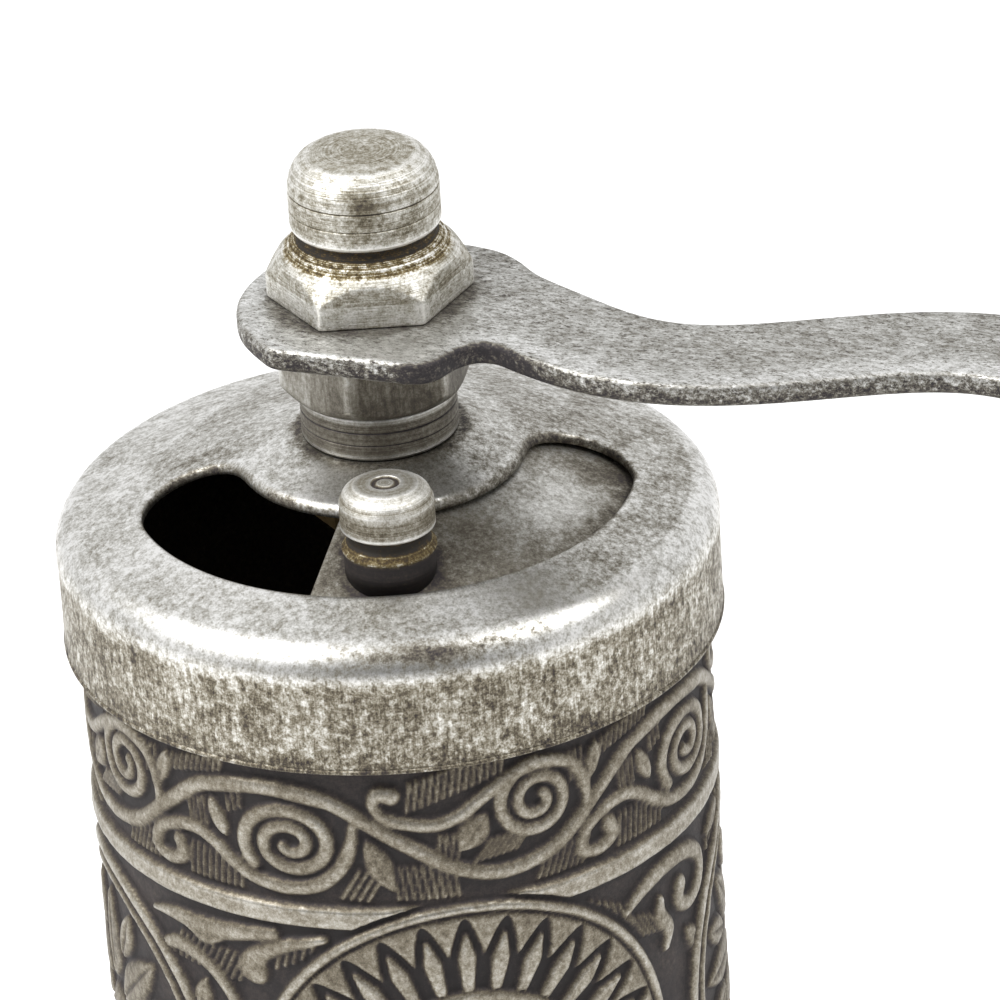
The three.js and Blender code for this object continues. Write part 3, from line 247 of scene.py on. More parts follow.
def eased(corners, step=0.35, closed=True):
    """A profile with its corners rounded. Each corner is (radius, height, rounding)."""
    count = len(corners)
    points = [np.array(c[:2], float) for c in corners]
    cut = []
    for i, here in enumerate(points):
        rounding = corners[i][2]
        if rounding == 0 or (not closed and i in (0, count - 1)):
            cut.append(here[None])
            continue
        into, out = here - points[i - 1], points[(i + 1) % count] - here
        length_in, length_out = np.hypot(*into), np.hypot(*out)
        into, out = into / length_in, out / length_out
        bend = math.acos(np.clip(into @ out, -1, 1))
        reach = min(rounding * math.tan(bend / 2), 0.48 * length_in, 0.48 * length_out)
        steps = max(2, int(math.ceil(bend / math.radians(15))))
        t = np.linspace(0, 1, steps + 1)[:, None]
        start, end = here - into * reach, here + out * reach
        weight = math.cos(bend / 2)
        arc = (start * (1 - t) ** 2 + here * 2 * weight * t * (1 - t) + end * t ** 2)
        cut.append(arc / ((1 - t) ** 2 + 2 * weight * t * (1 - t) + t ** 2))
    line = []
    for i in range(count):
        line.append(cut[i])
        if i == count - 1 and not closed:
            break
        start, target = cut[i][-1], cut[(i + 1) % count][0]
        pieces = int(np.hypot(*(target - start)) // step)
        if pieces > 1:
            t = np.linspace(0, 1, pieces + 1)[1:-1, None]
            line.append(start * (1 - t) + target * t)
    line = np.concatenate(line)
    kept = np.ones(len(line), bool)
    kept[1:] = np.hypot(*np.diff(line, axis=0).T) > 1e-4
    return line[kept]


def profile_wear(line, spread, scale, closed=True):
    """Worn on edges and dark in grooves: how far a profile stands out of its own blurred run."""
    loop = np.vstack([line, line[:1]]) if closed else line
    length = run_length(loop)
    step = 0.04
    at = np.arange(0, length[-1], step)
    even = np.stack([np.interp(at, length, loop[:, k]) for k in (0, 1)], -1)
    blurred = blur(even, spread / step, 0, closed)
    along = np.gradient(even, axis=0)
    along /= np.maximum(np.hypot(*along.T), 1e-9)[:, None]
    outward = np.stack([along[:, 1], -along[:, 0]], -1)
    stand = ((even - blurred) * outward).sum(1)
    return 0.55 + np.interp(length[:len(line)], at, stand) / scale


def turned_piece(name, corners, scale, centre=(0.0, 0.0), step=0.35):
    """A closed profile turned round an upright axis."""
    line = eased(corners, step)
    wear_and_light = profile_wear(line, 0.3, scale)
    return grid_piece(name, np.repeat(line[:, :1], 160, 1), line[:, 1:], wear_and_light[:, None], centre=centre)


# Pressed and cut sheet

def loop_distance(points, loop):
    """Distance from each point to a closed line."""
    way = np.roll(loop, -1, 0) - loop
    squared = np.maximum((way ** 2).sum(1), 1e-12)
    nearest = np.full(len(points), np.inf)
    batch = 4000
    for first in range(0, len(points), batch):
        offset = points[first:first + batch][:, None] - loop
        t = np.clip((offset * way).sum(2) / squared, 0, 1)
        gap = offset - t[..., None] * way
        nearest[first:first + batch] = np.sqrt((gap ** 2).sum(2).min(1))
    return nearest


def inside_loop(points, loop):
    x, y = points[:, 0][:, None], points[:, 1][:, None]
    x0, y0 = loop[:, 0], loop[:, 1]
    x1, y1 = np.roll(x0, -1), np.roll(y0, -1)
    crosses = (y0 > y) != (y1 > y)
    slope = np.where(np.abs(y1 - y0) < 1e-12, 1e-12, y1 - y0)
    return (crosses & (x < (x1 - x0) * (y - y0) / slope + x0)).sum(1) % 2 == 1


def on_sheet(points, loops):
    """Which points lie inside the outline and outside the holes."""
    inside = inside_loop(points, loops[0])
    for hole in loops[1:]:
        inside &= ~inside_loop(points, hole)
    return inside


def even_loop(loop, step):
    """A closed line set out anew at even steps."""
    ring = np.vstack([loop, loop[:1]])
    length = run_length(ring)
    count = max(12, int(round(length[-1] / step)))
    at = np.linspace(0, length[-1], count, endpoint=False)
    return np.stack([np.interp(at, length, ring[:, k]) for k in (0, 1)], -1)


def sheet_piece(outer, holes, top, thickness, round_top, round_bottom, spacing, wear_and_light_of,
                plain_outer=False, step=0.25, filling=None):
    """A cut sheet with rounded edges. top(points) gives its upper face, thickness its drop.
    With plain_outer the outer edge is left sharp, to be joined to another skin. Returns the
    points, quads, triangles, wear, the number of each flat point and the count on one face."""
    loops = [even_loop(line, step) for line in (outer, *holes)]
    if plain_outer:
        loops[0] = outer
    flats, drops, edges, offset = [], [], [], 0
    for which, loop in enumerate(loops):
        along = np.roll(loop, -1, 0) - np.roll(loop, 1, 0)
        normal = np.stack([-along[:, 1], along[:, 0]], -1)
        normal /= np.hypot(*normal.T)[:, None]
        if (inside_loop(loop + normal * 0.02, loop) == (which == 0)).mean() < 0.5:
            normal = -normal
        rings = [(0.0, 0.0)]
        if which or not plain_outer:
            rings = [(round_top * (1 - math.sin(a)), round_top * (1 - math.cos(a)))
                     for a in np.radians([90, 67.5, 45, 22.5, 0])] + [(round_top + 0.5 * spacing, 0.0)]
        index = offset + np.arange(len(loop))
        edges.append(np.stack([index, np.roll(index, -1)], -1))
        for inset, drop in rings:
            ring = loop + normal * inset
            if inset > 0:
                ring = ring[loop_distance(ring, loop) > inset * 0.93]
            flats.append(ring)
            drops.append(np.full(len(ring), drop))
            offset += len(ring)
    if filling is None:
        low, high = loops[0].min(0), loops[0].max(0)
        across, up = np.arange(low[0], high[0], spacing), np.arange(low[1], high[1], spacing * 0.866)
        grid_x, grid_y = np.meshgrid(across, up)
        grid_x = grid_x + (np.arange(len(up)) % 2)[:, None] * spacing / 2
        filling = np.stack([grid_x.ravel(), grid_y.ravel()], -1)
    keep = on_sheet(filling, loops)
    keep &= loop_distance(filling, loops[0]) > (0.4 * spacing if plain_outer else round_top + spacing)
    for hole in loops[1:]:
        keep &= loop_distance(filling, hole) > round_top + spacing * 0.9
    flat = np.concatenate(flats + [filling[keep]])
    drop = np.concatenate(drops + [np.zeros(keep.sum())])
    made = delaunay_2d_cdt([Vector(p) for p in flat],
                           [tuple(map(int, edge)) for edge in np.concatenate(edges)], [], 0, 1e-5)
    where = np.full(len(flat), -1)
    lowered = np.zeros(len(made[0]))
    for number, ids in enumerate(made[3]):
        if len(ids):
            where[list(ids)] = number
            lowered[number] = drop[ids[0]]
    flat = np.array([tuple(v) for v in made[0]])
    faces = np.array([f for f in made[2] if len(f) == 3])
    faces = faces[on_sheet(flat[faces].mean(1), loops)]
    a, b, c = (flat[faces[:, k]] for k in range(3))
    area = (b[:, 0] - a[:, 0]) * (c[:, 1] - a[:, 1]) - (b[:, 1] - a[:, 1]) * (c[:, 0] - a[:, 0])
    faces[area < 0] = faces[area < 0][:, ::-1]
    faces = faces[np.abs(area) > 1e-9]
    upper = top(flat)
    lower = upper - thickness + lowered * round_bottom / round_top
    count = len(flat)
    points = np.vstack([np.column_stack([flat, upper - lowered]), np.column_stack([flat, lower])])
    quads = []
    for which, ring in enumerate(edges):
        if plain_outer and which == 0:
            continue
        ring = where[ring[:, 0]]
        x, y = flat[ring].T
        turning = (x * np.roll(y, -1) - np.roll(x, -1) * y).sum() > 0
        if turning != (which == 0):
            ring = ring[::-1]
        follow = np.roll(ring, -1)
        quads.append(np.stack([ring + count, follow + count, follow, ring], -1))
    wear_and_light = wear_and_light_of(flat, np.stack([loop_distance(flat, loop) for loop in loops]))
    return (points, np.concatenate(quads), np.concatenate([faces, faces[:, ::-1] + count]),
            np.concatenate([wear_and_light, wear_and_light]), where, count)


# Relief tiles, drawn once and repeated round the barrel

DEG = 20 * math.pi / 180
PERIOD = 29.32
STRETCH = 0.0714
COLUMNS = 720
FRONT = from_front(around(COLUMNS))
STRIP = 20 * (FRONT + STRETCH * np.sin(FRONT)) / (1 + STRETCH)


def rounded(share, power=0.3):
    """Cross-section of a raised form, 1 in the middle and 0 at its edge."""
    return np.clip(1 - share ** 2, 0, 1) ** power


class Relief:
    """Heights over a strip that repeats in x."""

    def __init__(self, width, low, high):
        step = 0.08
        self.width = width
        self.columns = int(round(width / step))
        self.rows = int(round((high - low) / step)) + 1
        self.x = np.arange(self.columns) * width / self.columns
        self.z = np.linspace(low, high, self.rows)
        self.step = self.z[1] - self.z[0]
        self.height = np.zeros((self.rows, self.columns))

    def windows(self, low, high):
        """The parts of the strip that a box covers, with the shift that brings it there."""
        for shift in (-self.width, 0.0, self.width):
            columns = np.nonzero((self.x >= low[0] + shift) & (self.x <= high[0] + shift))[0]
            rows = np.nonzero((self.z >= low[1]) & (self.z <= high[1]))[0]
            if len(columns) and len(rows):
                x, z = np.meshgrid(self.x[columns] - shift, self.z[rows])
                yield np.ix_(rows, columns), x, z

    def stroke(self, points, half_width, height=0.43):
        points = np.asarray(points, float)
        widths = np.interp(np.linspace(0, 1, len(points)),
                           np.linspace(0, 1, np.size(half_width)), np.atleast_1d(half_width))
        margin = widths.max()
        for part, x, z in self.windows(points.min(0) - margin, points.max(0) + margin):
            nearest = np.full(x.shape, np.inf)
            for i in range(len(points) - 1):
                ax, az = points[i]
                bx, bz = points[i + 1] - points[i]
                t = np.clip(((x - ax) * bx + (z - az) * bz) / max(bx * bx + bz * bz, 1e-12), 0, 1)
                gap = np.hypot(x - ax - t * bx, z - az - t * bz)
                nearest = np.minimum(nearest, gap / (widths[i] + t * (widths[i + 1] - widths[i])))
            self.height[part] = np.maximum(self.height[part], height * rounded(nearest))

    def leaf(self, middle, length, width, angle, height, vein):
        """A leaf with two points."""
        turn = math.radians(angle)
        reach = max(length, width) / 2
        for part, x, z in self.windows(np.subtract(middle, reach), np.add(middle, reach)):
            along = (x - middle[0]) * math.cos(turn) + (z - middle[1]) * math.sin(turn)
            across = -(x - middle[0]) * math.sin(turn) + (z - middle[1]) * math.cos(turn)
            u = np.clip(2 * along / length, -1, 1)
            half = np.maximum(width / 2 * (1 - u ** 2), 1e-3)
            shape = height * rounded(across / half) * (1 - vein * bell(across, 0, 0.1))
            shape[np.abs(2 * along / length) >= 1] = 0
            self.height[part] = np.maximum(self.height[part], shape)

    def ribs(self, start, end, lean, length, count):
        """Short hatching between two points."""
        for share in np.linspace(0, 1, count):
            x = start[0] + (end[0] - start[0]) * share
            z = start[1] + (end[1] - start[1]) * share
            self.stroke([(x, z), (x + lean * length, z + length)], 0.17, 0.31)

    def field(self, middle, radius, function):
        """Sets the strip inside a circle from distance and angle."""
        for part, x, z in self.windows(np.subtract(middle, radius), np.add(middle, radius)):
            gap = np.hypot(x - middle[0], z - middle[1])
            angle = np.arctan2(x - middle[0], z - middle[1])
            self.height[part] = np.where(gap < radius, function(gap, angle), self.height[part])

    def draw(self, place, side, ribs, lines, leaves, leaf_height):
        """Hatching, stems and leaves at points that place() puts on the strip. A side of -1
        turns them over."""
        for start, end, lean, length, count in ribs:
            self.ribs(*place([start, end]), lean, length * side, count)
        for points, widths, count in lines:
            self.stroke(spline(place(points), count), widths)
        for middle, length, width, angle in leaves:
            self.leaf(place([middle])[0], length, width, angle * side, leaf_height, 0.2)

    def sample(self, u, z, field):
        """The field at strip places u (one per column) and heights z (one per row)."""
        fx = (u % self.width) / (self.width / self.columns)
        ix = fx.astype(int) % self.columns
        tx = fx - np.floor(fx)
        fz = np.clip((z - self.z[0]) / self.step, 0, self.rows - 1.001)
        iz = fz.astype(int)
        tz = (fz - iz)[:, None]
        right = (ix + 1) % self.columns
        low, high = (field[np.ix_(row, ix)] * (1 - tx) + field[np.ix_(row, right)] * tx
                     for row in (iz, iz + 1))
        return low * (1 - tz) + high * tz

    def rows_at(self, z_rel):
        """Height and wear round the barrel: worn on high spots, dark in recesses."""
        soft = blur_strip(self.height, 0.055 / self.step)
        low = blur_strip(soft, 0.55 / self.step)
        wear_and_light = np.minimum(0.17 + 0.72 * soft + 0.85 * (soft - low), 0.68)
        return self.sample(STRIP, z_rel, soft), self.sample(STRIP, z_rel, wear_and_light)


def on_strip(points):
    """Points given as (degrees round the barrel, height) in millimetres."""
    return np.asarray(points, float) * (DEG, 1)


def volute(middle, radii, start, turns, shrink, sense):
    """A spiral that loses the share shrink of its radii each turn."""
    t = np.linspace(0, turns, 70)
    angle = math.radians(start) + sense * TAU * t
    scale = 1 - shrink * t
    return np.stack([middle[0] + radii[0] * scale * np.cos(angle),
                     middle[1] + radii[1] * scale * np.sin(angle)], -1)


def frieze():
    """Running scroll between the lid and the plain band: a waved stem with a volute under
    each crest and over each trough. Heights are rel."""
    tile = Relief(PERIOD, -18.5, -8.3)
    ribs = (
        ((-52.5, -11.9), (-50, -11.9), 0.0, 2.0, 3), ((-46, -10.9), (-34.5, -9.9), 0.25, 1.1, 10),
        ((-41.5, -14.2), (-38, -14.0), -0.1, 1.9, 4), ((-33, -12.6), (-30.5, -12.2), -0.1, 1.0, 3),
        ((-42.5, -17.9), (-31.5, -17.9), 0.1, 2.2, 9), ((-12, -17.8), (-7.5, -18.0), 0.6, 2.0, 4),
        ((-1.8, -17.9), (9, -18.0), -0.15, 2.3, 9), ((0.5, -11.8), (18, -9.8), 0.15, 2.0, 14),
        ((5.5, -15.3), (9.2, -15.3), 0.15, 1.7, 4), ((12.2, -15.8), (20, -15.5), 0.8, 1.4, 7),
        ((24, -18.0), (33, -17.9), 0.35, 1.9, 8), ((33, -12.5), (35.5, -12.4), 0.0, 1.2, 2))
    stem = [(-38, -11.1), (-26, -10.4), (-14, -10.95), (-2.5, -13.5), (9, -16.05), (18, -16.8),
            (28, -15.9), (37.5, -13.2), (46, -11.1), (58, -10.4), (70, -10.95)]
    tail = [(-44.8, -15.9), (-44.2, -16.8), (-47.4, -17.4), (-51, -17.0), (-50.4, -15.8),
            (-46, -14.8), (-40.8, -14.5), (-36.6, -15.1), (-32.8, -16.1), (-28.3, -16.95),
            (-22.3, -17.3), (-16.3, -16.9), (-12, -15.6), (-9.8, -13.9), (-9.4, -12.6)]
    hook = [(-2.2, -10.6), (-4.6, -10.4), (-5.4, -11.2), (-3.4, -12.1), (0.5, -12.6), (5.1, -12.85),
            (9.9, -12.4), (14.7, -11.25), (19.5, -10.3), (24.8, -9.85), (30.2, -10.3),
            (33.3, -11.4), (34.5, -12.8), (34, -14.3)]
    lines = ((stem, 0.6, 150),
             (tail, [0.66, 0.6, 0.5, 0.52, 0.56, 0.54, 0.56, 0.58, 0.6, 0.56, 0.3], 110),
             (hook, [0.7, 0.46, 0.46, 0.52, 0.54, 0.54, 0.54, 0.54, 0.52, 0.5, 0.3], 90))
    leaves = (((-35.4, -13.2), 3.0, 1.35, 114), ((-5, -15.4), 4.2, 1.85, 112),
              ((12.3, -13.7), 3.1, 2.2, 52), ((-47.7, -11.0), 2.8, 1.3, 73))
    tile.draw(on_strip, 1, ribs, lines, leaves, 0.42)
    crest, trough = on_strip([(-21.2, -14.15), (24.4, -12.35)])
    tile.stroke(volute(crest, (3.25, 2.7), 218, 2.0, 0.415, -1), [0.58, 0.54, 0.46])
    tile.stroke(volute(trough, (2.7, 2.6), 90, 1.85, 0.425, 1), [0.54, 0.5, 0.44])
    return tile


def rosette(gap, angle, turn, start, length, width, power, vein):
    """Height of eight leaves that stand round a middle, each with a groove along it."""
    wide = TAU / 8
    side = np.abs((angle / wide + turn + 0.5) % 1 - 0.5) * wide * gap
    half = width * np.sin(math.pi * rise(gap, start, length) ** power) + 0.02
    return 0.42 * rounded(side / half) * (1 - 0.4 * bell(side, 0, vein))


def big_medallion(gap, angle):
    """Height inside the big medallion: rim, flat field, dark zigzag, petals and a rosette."""
    pitch = TAU / 30
    off = np.abs((angle / pitch + 0.5) % 1 - 0.5) * 2
    tip, depth, base = 13.35, 2.9, 1.1
    across = off * pitch / 2 * gap
    inside = 0.85 * (base * np.clip((tip - gap) / depth, 0, 1) ** 0.65 - across)
    inside = np.where(gap < tip, inside, tip - gap - 0.85 * across)
    beside = pitch / 2 * gap - across
    petal = np.minimum(np.minimum(inside - 0.33, beside - 0.44), 12.3 - gap)
    petal = 0.43 * rise(petal, 0, 0.16) ** 0.5
    field = 0.4 * rise(inside, 0, -0.12) ** 0.5 * rise(gap, 13.62, -0.12) ** 0.5
    shape = np.maximum(np.where(inside < 0, field, petal), 0.46 * rounded((gap - 14.1) / 0.4))
    core = np.maximum(0.42 * rounded((gap - 7.7) / 0.5),
                      rosette(gap, angle, 0.0, 1.9, 4.9, 1.75, 0.8, 0.14))
    return np.where(gap < 8.25, np.maximum(core, 0.45 * rounded(gap / 1.6, 0.5)), shape)


def small_medallion(gap, angle):
    """Height inside the small medallion: two rims round an eight-leaved rosette."""
    forms = (0.46 * rounded((gap - 11.45) / 0.55), 0.38 * rounded((gap - 10.2) / 0.36),
             rosette(gap, angle, 0.0, 2.2, 6.9, 1.6, 0.85, 0.13),
             rosette(gap, angle, 0.5, 5.2, 4.3, 1.05, 0.85, 0.13), 0.45 * rounded(gap / 1.8, 0.5))
    return np.maximum.reduce(forms)


def medallions():
    """The wide zone of the upper barrel, between its two plain bands: a big and a small
    medallion with scrolls that mirror above and below. Heights are rel."""
    tile = Relief(2 * PERIOD, -48.1, -18.2)
    for low, high in ((-20.1, -18.4), (-48.2, -46.3)):
        inside = (tile.z[:, None] > low) & (tile.z[:, None] < high)
        edge = np.minimum(tile.z - low, high - tile.z)[:, None]
        tile.height = np.where(inside, BAND_RELIEF * rise(edge, 0, 0.25) ** 0.5, tile.height)
    middle = -33.1
    ribs = (
        ((-17.2, -24.6), (-11.8, -24.9), 0.5, 1.9, 11), ((15.2, -25.0), (17.6, -25.6), -0.5, 1.7, 6),
        ((-9.0, -23.4), (-6.6, -22.2), 0.3, 1.1, 5), ((12.4, -22.3), (15.2, -23.8), -0.3, 1.4, 6),
        ((24.5, -23.4), (27.6, -22.2), 0.2, 1.2, 6))
    lines = (
        ([(-19.0, -22.0), (-16.6, -21.6), (-14.0, -21.7), (-11.5, -21.3), (-9.0, -20.9)],
         [0.1, 0.6, 0.85, 0.7, 0.5], 40),
        ([(-15.6, -22.0), (-14.2, -22.5), (-12.9, -22.2)], [0.2, 0.5, 0.2], 40),
        ([(-5.6, -20.9), (-7.4, -21.35), (-9.0, -21.9), (-10.2, -22.7), (-10.7, -23.6), (-10.4, -24.0)],
         [0.3, 0.5, 0.62, 0.8, 1.15, 0.9], 40),
        ([(-19.0, -24.8), (-16.6, -23.7), (-14.0, -24.4), (-12.3, -26.4), (-12.3, -28.6)],
         [0.3, 0.62, 0.62, 0.5, 0.25], 40),
        ([(14.6, -22.9), (16.4, -21.9), (18.8, -21.3), (21.2, -21.6), (22.8, -22.8), (22.7, -24.5),
          (21.2, -25.3), (19.9, -24.6), (20.2, -23.6)],
         [0.3, 0.62, 0.75, 0.7, 0.66, 0.62, 0.6, 0.62, 0.75], 40),
        ([(18.2, -27.2), (18.6, -25.9), (17.8, -24.6), (17.9, -23.4)], [0.2, 0.66, 0.72, 0.3], 40))
    leaves = (((25.9, -21.8), 3.4, 1.4, 18), ((-14.9, -27.2), 3.6, 1.7, 74),
              ((21.6, -28.2), 3.2, 1.6, -52))
    for side in (1, -1):
        def mirrored(points):
            return (0, middle) + (np.asarray(points, float) - (0, middle)) * (1, side)
        tile.draw(mirrored, side, ribs, lines, leaves, 0.4)
    tile.field((9.5 * DEG, middle), 14.85, big_medallion)
    tile.field((9.5 * DEG - PERIOD, middle), 12.05, small_medallion)
    return tile


def arcade():
    """The zone of the cup between its bands: a row of upright leaves under small arches."""
    pitch = 2 * PERIOD / 12
    tile = Relief(pitch, -62.9, -49.7)
    for foot, sense in ((0, 1), (pitch, -1)):
        arch = [(0, -62.2), (0.15, -55), (pitch * 0.3, -51.2), (pitch * 0.5, -50.4)]
        tile.stroke(spline([(foot + sense * x, z) for x, z in arch], 30), 0.24, 0.36)
    tile.leaf((pitch / 2, -56.9), 9.8, 3.0, 90, 0.45, 0.45)
    tile.leaf((pitch / 2, -61.0), 2.8, 3.4, 0, 0.36, 0.0)
    tile.leaf((0, -51.6), 3.0, 1.3, 90, 0.38, 0.3)
    tile.ribs((0.75, -62.4), (pitch - 0.75, -62.4), 0.0, 0.8, 6)
    return tile


def cast_noise(shape, sigma, seed):
    """Soft unevenness that closes round the barrel, about 1 high."""
    noise = blur_strip(np.random.default_rng(seed).standard_normal(shape), sigma)
    return noise / noise.std()


def barrel_half(name, below, zones, above):
    """Relief zones (low, high, tile or None, shift) between plain rows (height, radius, wear)
    below and above them."""
    parts = [even_rows(below, COLUMNS)]
    for low, high, tile, shift in zones:
        count = max(2, int(round((high - low) / 0.17)))
        z = np.linspace(low, high, count, endpoint=False) + 0.5 * (high - low) / count
        if tile is None:
            edge = np.repeat(np.minimum(z - low, high - z)[:, None], COLUMNS, 1)
            relief, shade = BAND_RELIEF * rise(edge, 0, 0.22) ** 0.5, 0.5 - 0.3 * (edge < 0.2)
        else:
            relief, shade = tile.rows_at(z - SHOULDER - shift)
        parts.append([np.repeat(z[:, None], COLUMNS, 1), GROUND + relief, shade])
    parts.append(even_rows(above, COLUMNS))
    height, radius, wear_and_light = (np.concatenate(kind) for kind in zip(*parts))
    lumps = cast_noise(radius.shape, 3.0, 3) * 0.012 + cast_noise(radius.shape, 1.0, 4) * 0.006
    cast = (radius > GROUND - 0.01) & (radius < RELIEF_LIMIT)
    radius = np.where(cast, np.minimum(radius + lumps, RELIEF_LIMIT), radius)
    return grid_piece(name, radius, height, wear_and_light, closed=radius[0].max() > 0)


# Materials

class Value:
    """A number inside a node tree. Arithmetic with it adds Math nodes."""

    def __init__(self, nodes, socket):
        self.nodes, self.socket = nodes, socket

    def __add__(self, other):
        return self.nodes.math("ADD", self, other)

    def __sub__(self, other):
        return self.nodes.math("SUBTRACT", self, other)

    def __rsub__(self, other):
        return self.nodes.math("SUBTRACT", other, self)

    def __mul__(self, other):
        return self.nodes.math("MULTIPLY", self, other)

    def clamped(self):
        self.socket.node.use_clamp = True
        return self


class Nodes:
    """A node tree under construction. Sockets are passed as links, numbers or tuples."""

    def __init__(self, tree):
        self.tree = tree
        tree.nodes.clear()

    def put(self, socket, value):
        if isinstance(value, Value):
            value = value.socket
        if isinstance(value, bpy.types.NodeSocket):
            self.tree.links.new(value, socket)
        elif isinstance(value, tuple) and socket.type == "RGBA":
            socket.default_value = (*value, 1)
        else:
            socket.default_value = value

    def node(self, kind, settings=(), numbered=(), **inputs):
        """A node with its settings, its inputs by number and its inputs by name."""
        node = self.tree.nodes.new(kind)
        for key, value in dict(settings).items():
            setattr(node, key, value)
        for key, value in (*dict(numbered).items(), *inputs.items()):
            self.put(node.inputs[key], value)
        return node

    def math(self, operation, a, b=0.0):
        node = self.node("ShaderNodeMath", {"operation": operation}, {0: a, 1: b})
        return Value(self, node.outputs[0])

    def ramp(self, value, stops):
        node = self.node("ShaderNodeValToRGB", Fac=value)
        ramp = node.color_ramp
        while len(ramp.elements) > 1:
            ramp.elements.remove(ramp.elements[-1])
        for number, (at, color) in enumerate(stops):
            element = ramp.elements[0] if number == 0 else ramp.elements.new(at)
            element.position = at
            element.color = (*color, 1) if isinstance(color, tuple) else (color, color, color, 1)
        return Value(self, node.outputs["Color"])

    def mix(self, share, first, second, kind="MIX"):
        node = self.node("ShaderNodeMix", {"data_type": "RGBA", "blend_type": kind},
                         {6: first, 7: second}, Factor=share)
        return Value(self, node.outputs[2])

    def place(self, scale=(1, 1, 1), turn=0.0):
        """Object coordinates in millimetres, turned about the upright axis, then scaled."""
        coordinates = self.node("ShaderNodeTexCoord").outputs["Object"]
        turned = self.node("ShaderNodeMapping", Vector=coordinates, Rotation=(0, 0, turn))
        return self.node("ShaderNodeMapping", Vector=turned.outputs[0],
                         Scale=[s / MM for s in scale]).outputs[0]

    def parts(self, vector):
        """The three numbers of a vector."""
        split = self.node("ShaderNodeSeparateXYZ", Vector=vector)
        return [Value(self, socket) for socket in split.outputs]

    def noise(self, vector, scale, detail, roughness, distortion=0.0):
        node = self.node("ShaderNodeTexNoise", {"noise_dimensions": "3D"}, Vector=vector, Scale=scale,
                         Detail=detail, Roughness=roughness, Distortion=distortion)
        return Value(self, node.outputs[0])

    def wear_and_light(self):
        return Value(self, self.node("ShaderNodeAttribute", {"attribute_name": "wear_and_light"}).outputs["Fac"])

    def rings(self, centre, scale):
        """Coordinates for lathe marks: distance from an upright axis and height."""
        x, y, z = self.parts(self.place())
        dx, dy = x - centre[0], y - centre[1]
        distance = self.math("SQRT", dx * dx + dy * dy)
        return self.node("ShaderNodeCombineXYZ", X=distance * scale, Y=0.0, Z=z * scale).outputs[0]


class Surface(Nodes):
    """A material under construction."""

    def __init__(self, name):
        self.material = bpy.data.materials.new(name)
        self.material.use_nodes = True
        super().__init__(self.material.node_tree)
        self.shader = self.node("ShaderNodeBsdfPrincipled")
        self.output = self.node("ShaderNodeOutputMaterial", Surface=self.shader.outputs[0])

    def bump(self, height, strength):
        node = self.node("ShaderNodeBump", Height=height, Strength=strength, Distance=0.05 * MM)
        self.put(self.shader.inputs["Normal"], node.outputs[0])

    def finish(self, color, roughness, metallic):
        for key, value in (("Base Color", color), ("Roughness", roughness), ("Metallic", metallic)):
            self.put(self.shader.inputs[key], value)
        return self.material


PATINA = [(0.0, (0.014, 0.011, 0.012)), (0.2, (0.044, 0.036, 0.036)), (0.36, (0.112, 0.098, 0.076)),
          (0.5, (0.225, 0.208, 0.172)), (0.64, (0.38, 0.368, 0.335)), (0.8, (0.60, 0.592, 0.565)),
          (1.0, (0.86, 0.855, 0.84))]
AMBER = [(0.0, (0.012, 0.008, 0.003)), (0.22, (0.065, 0.04, 0.012)), (0.42, (0.20, 0.155, 0.07)),
         (0.56, (0.42, 0.38, 0.28)), (0.75, (0.84, 0.83, 0.80))]


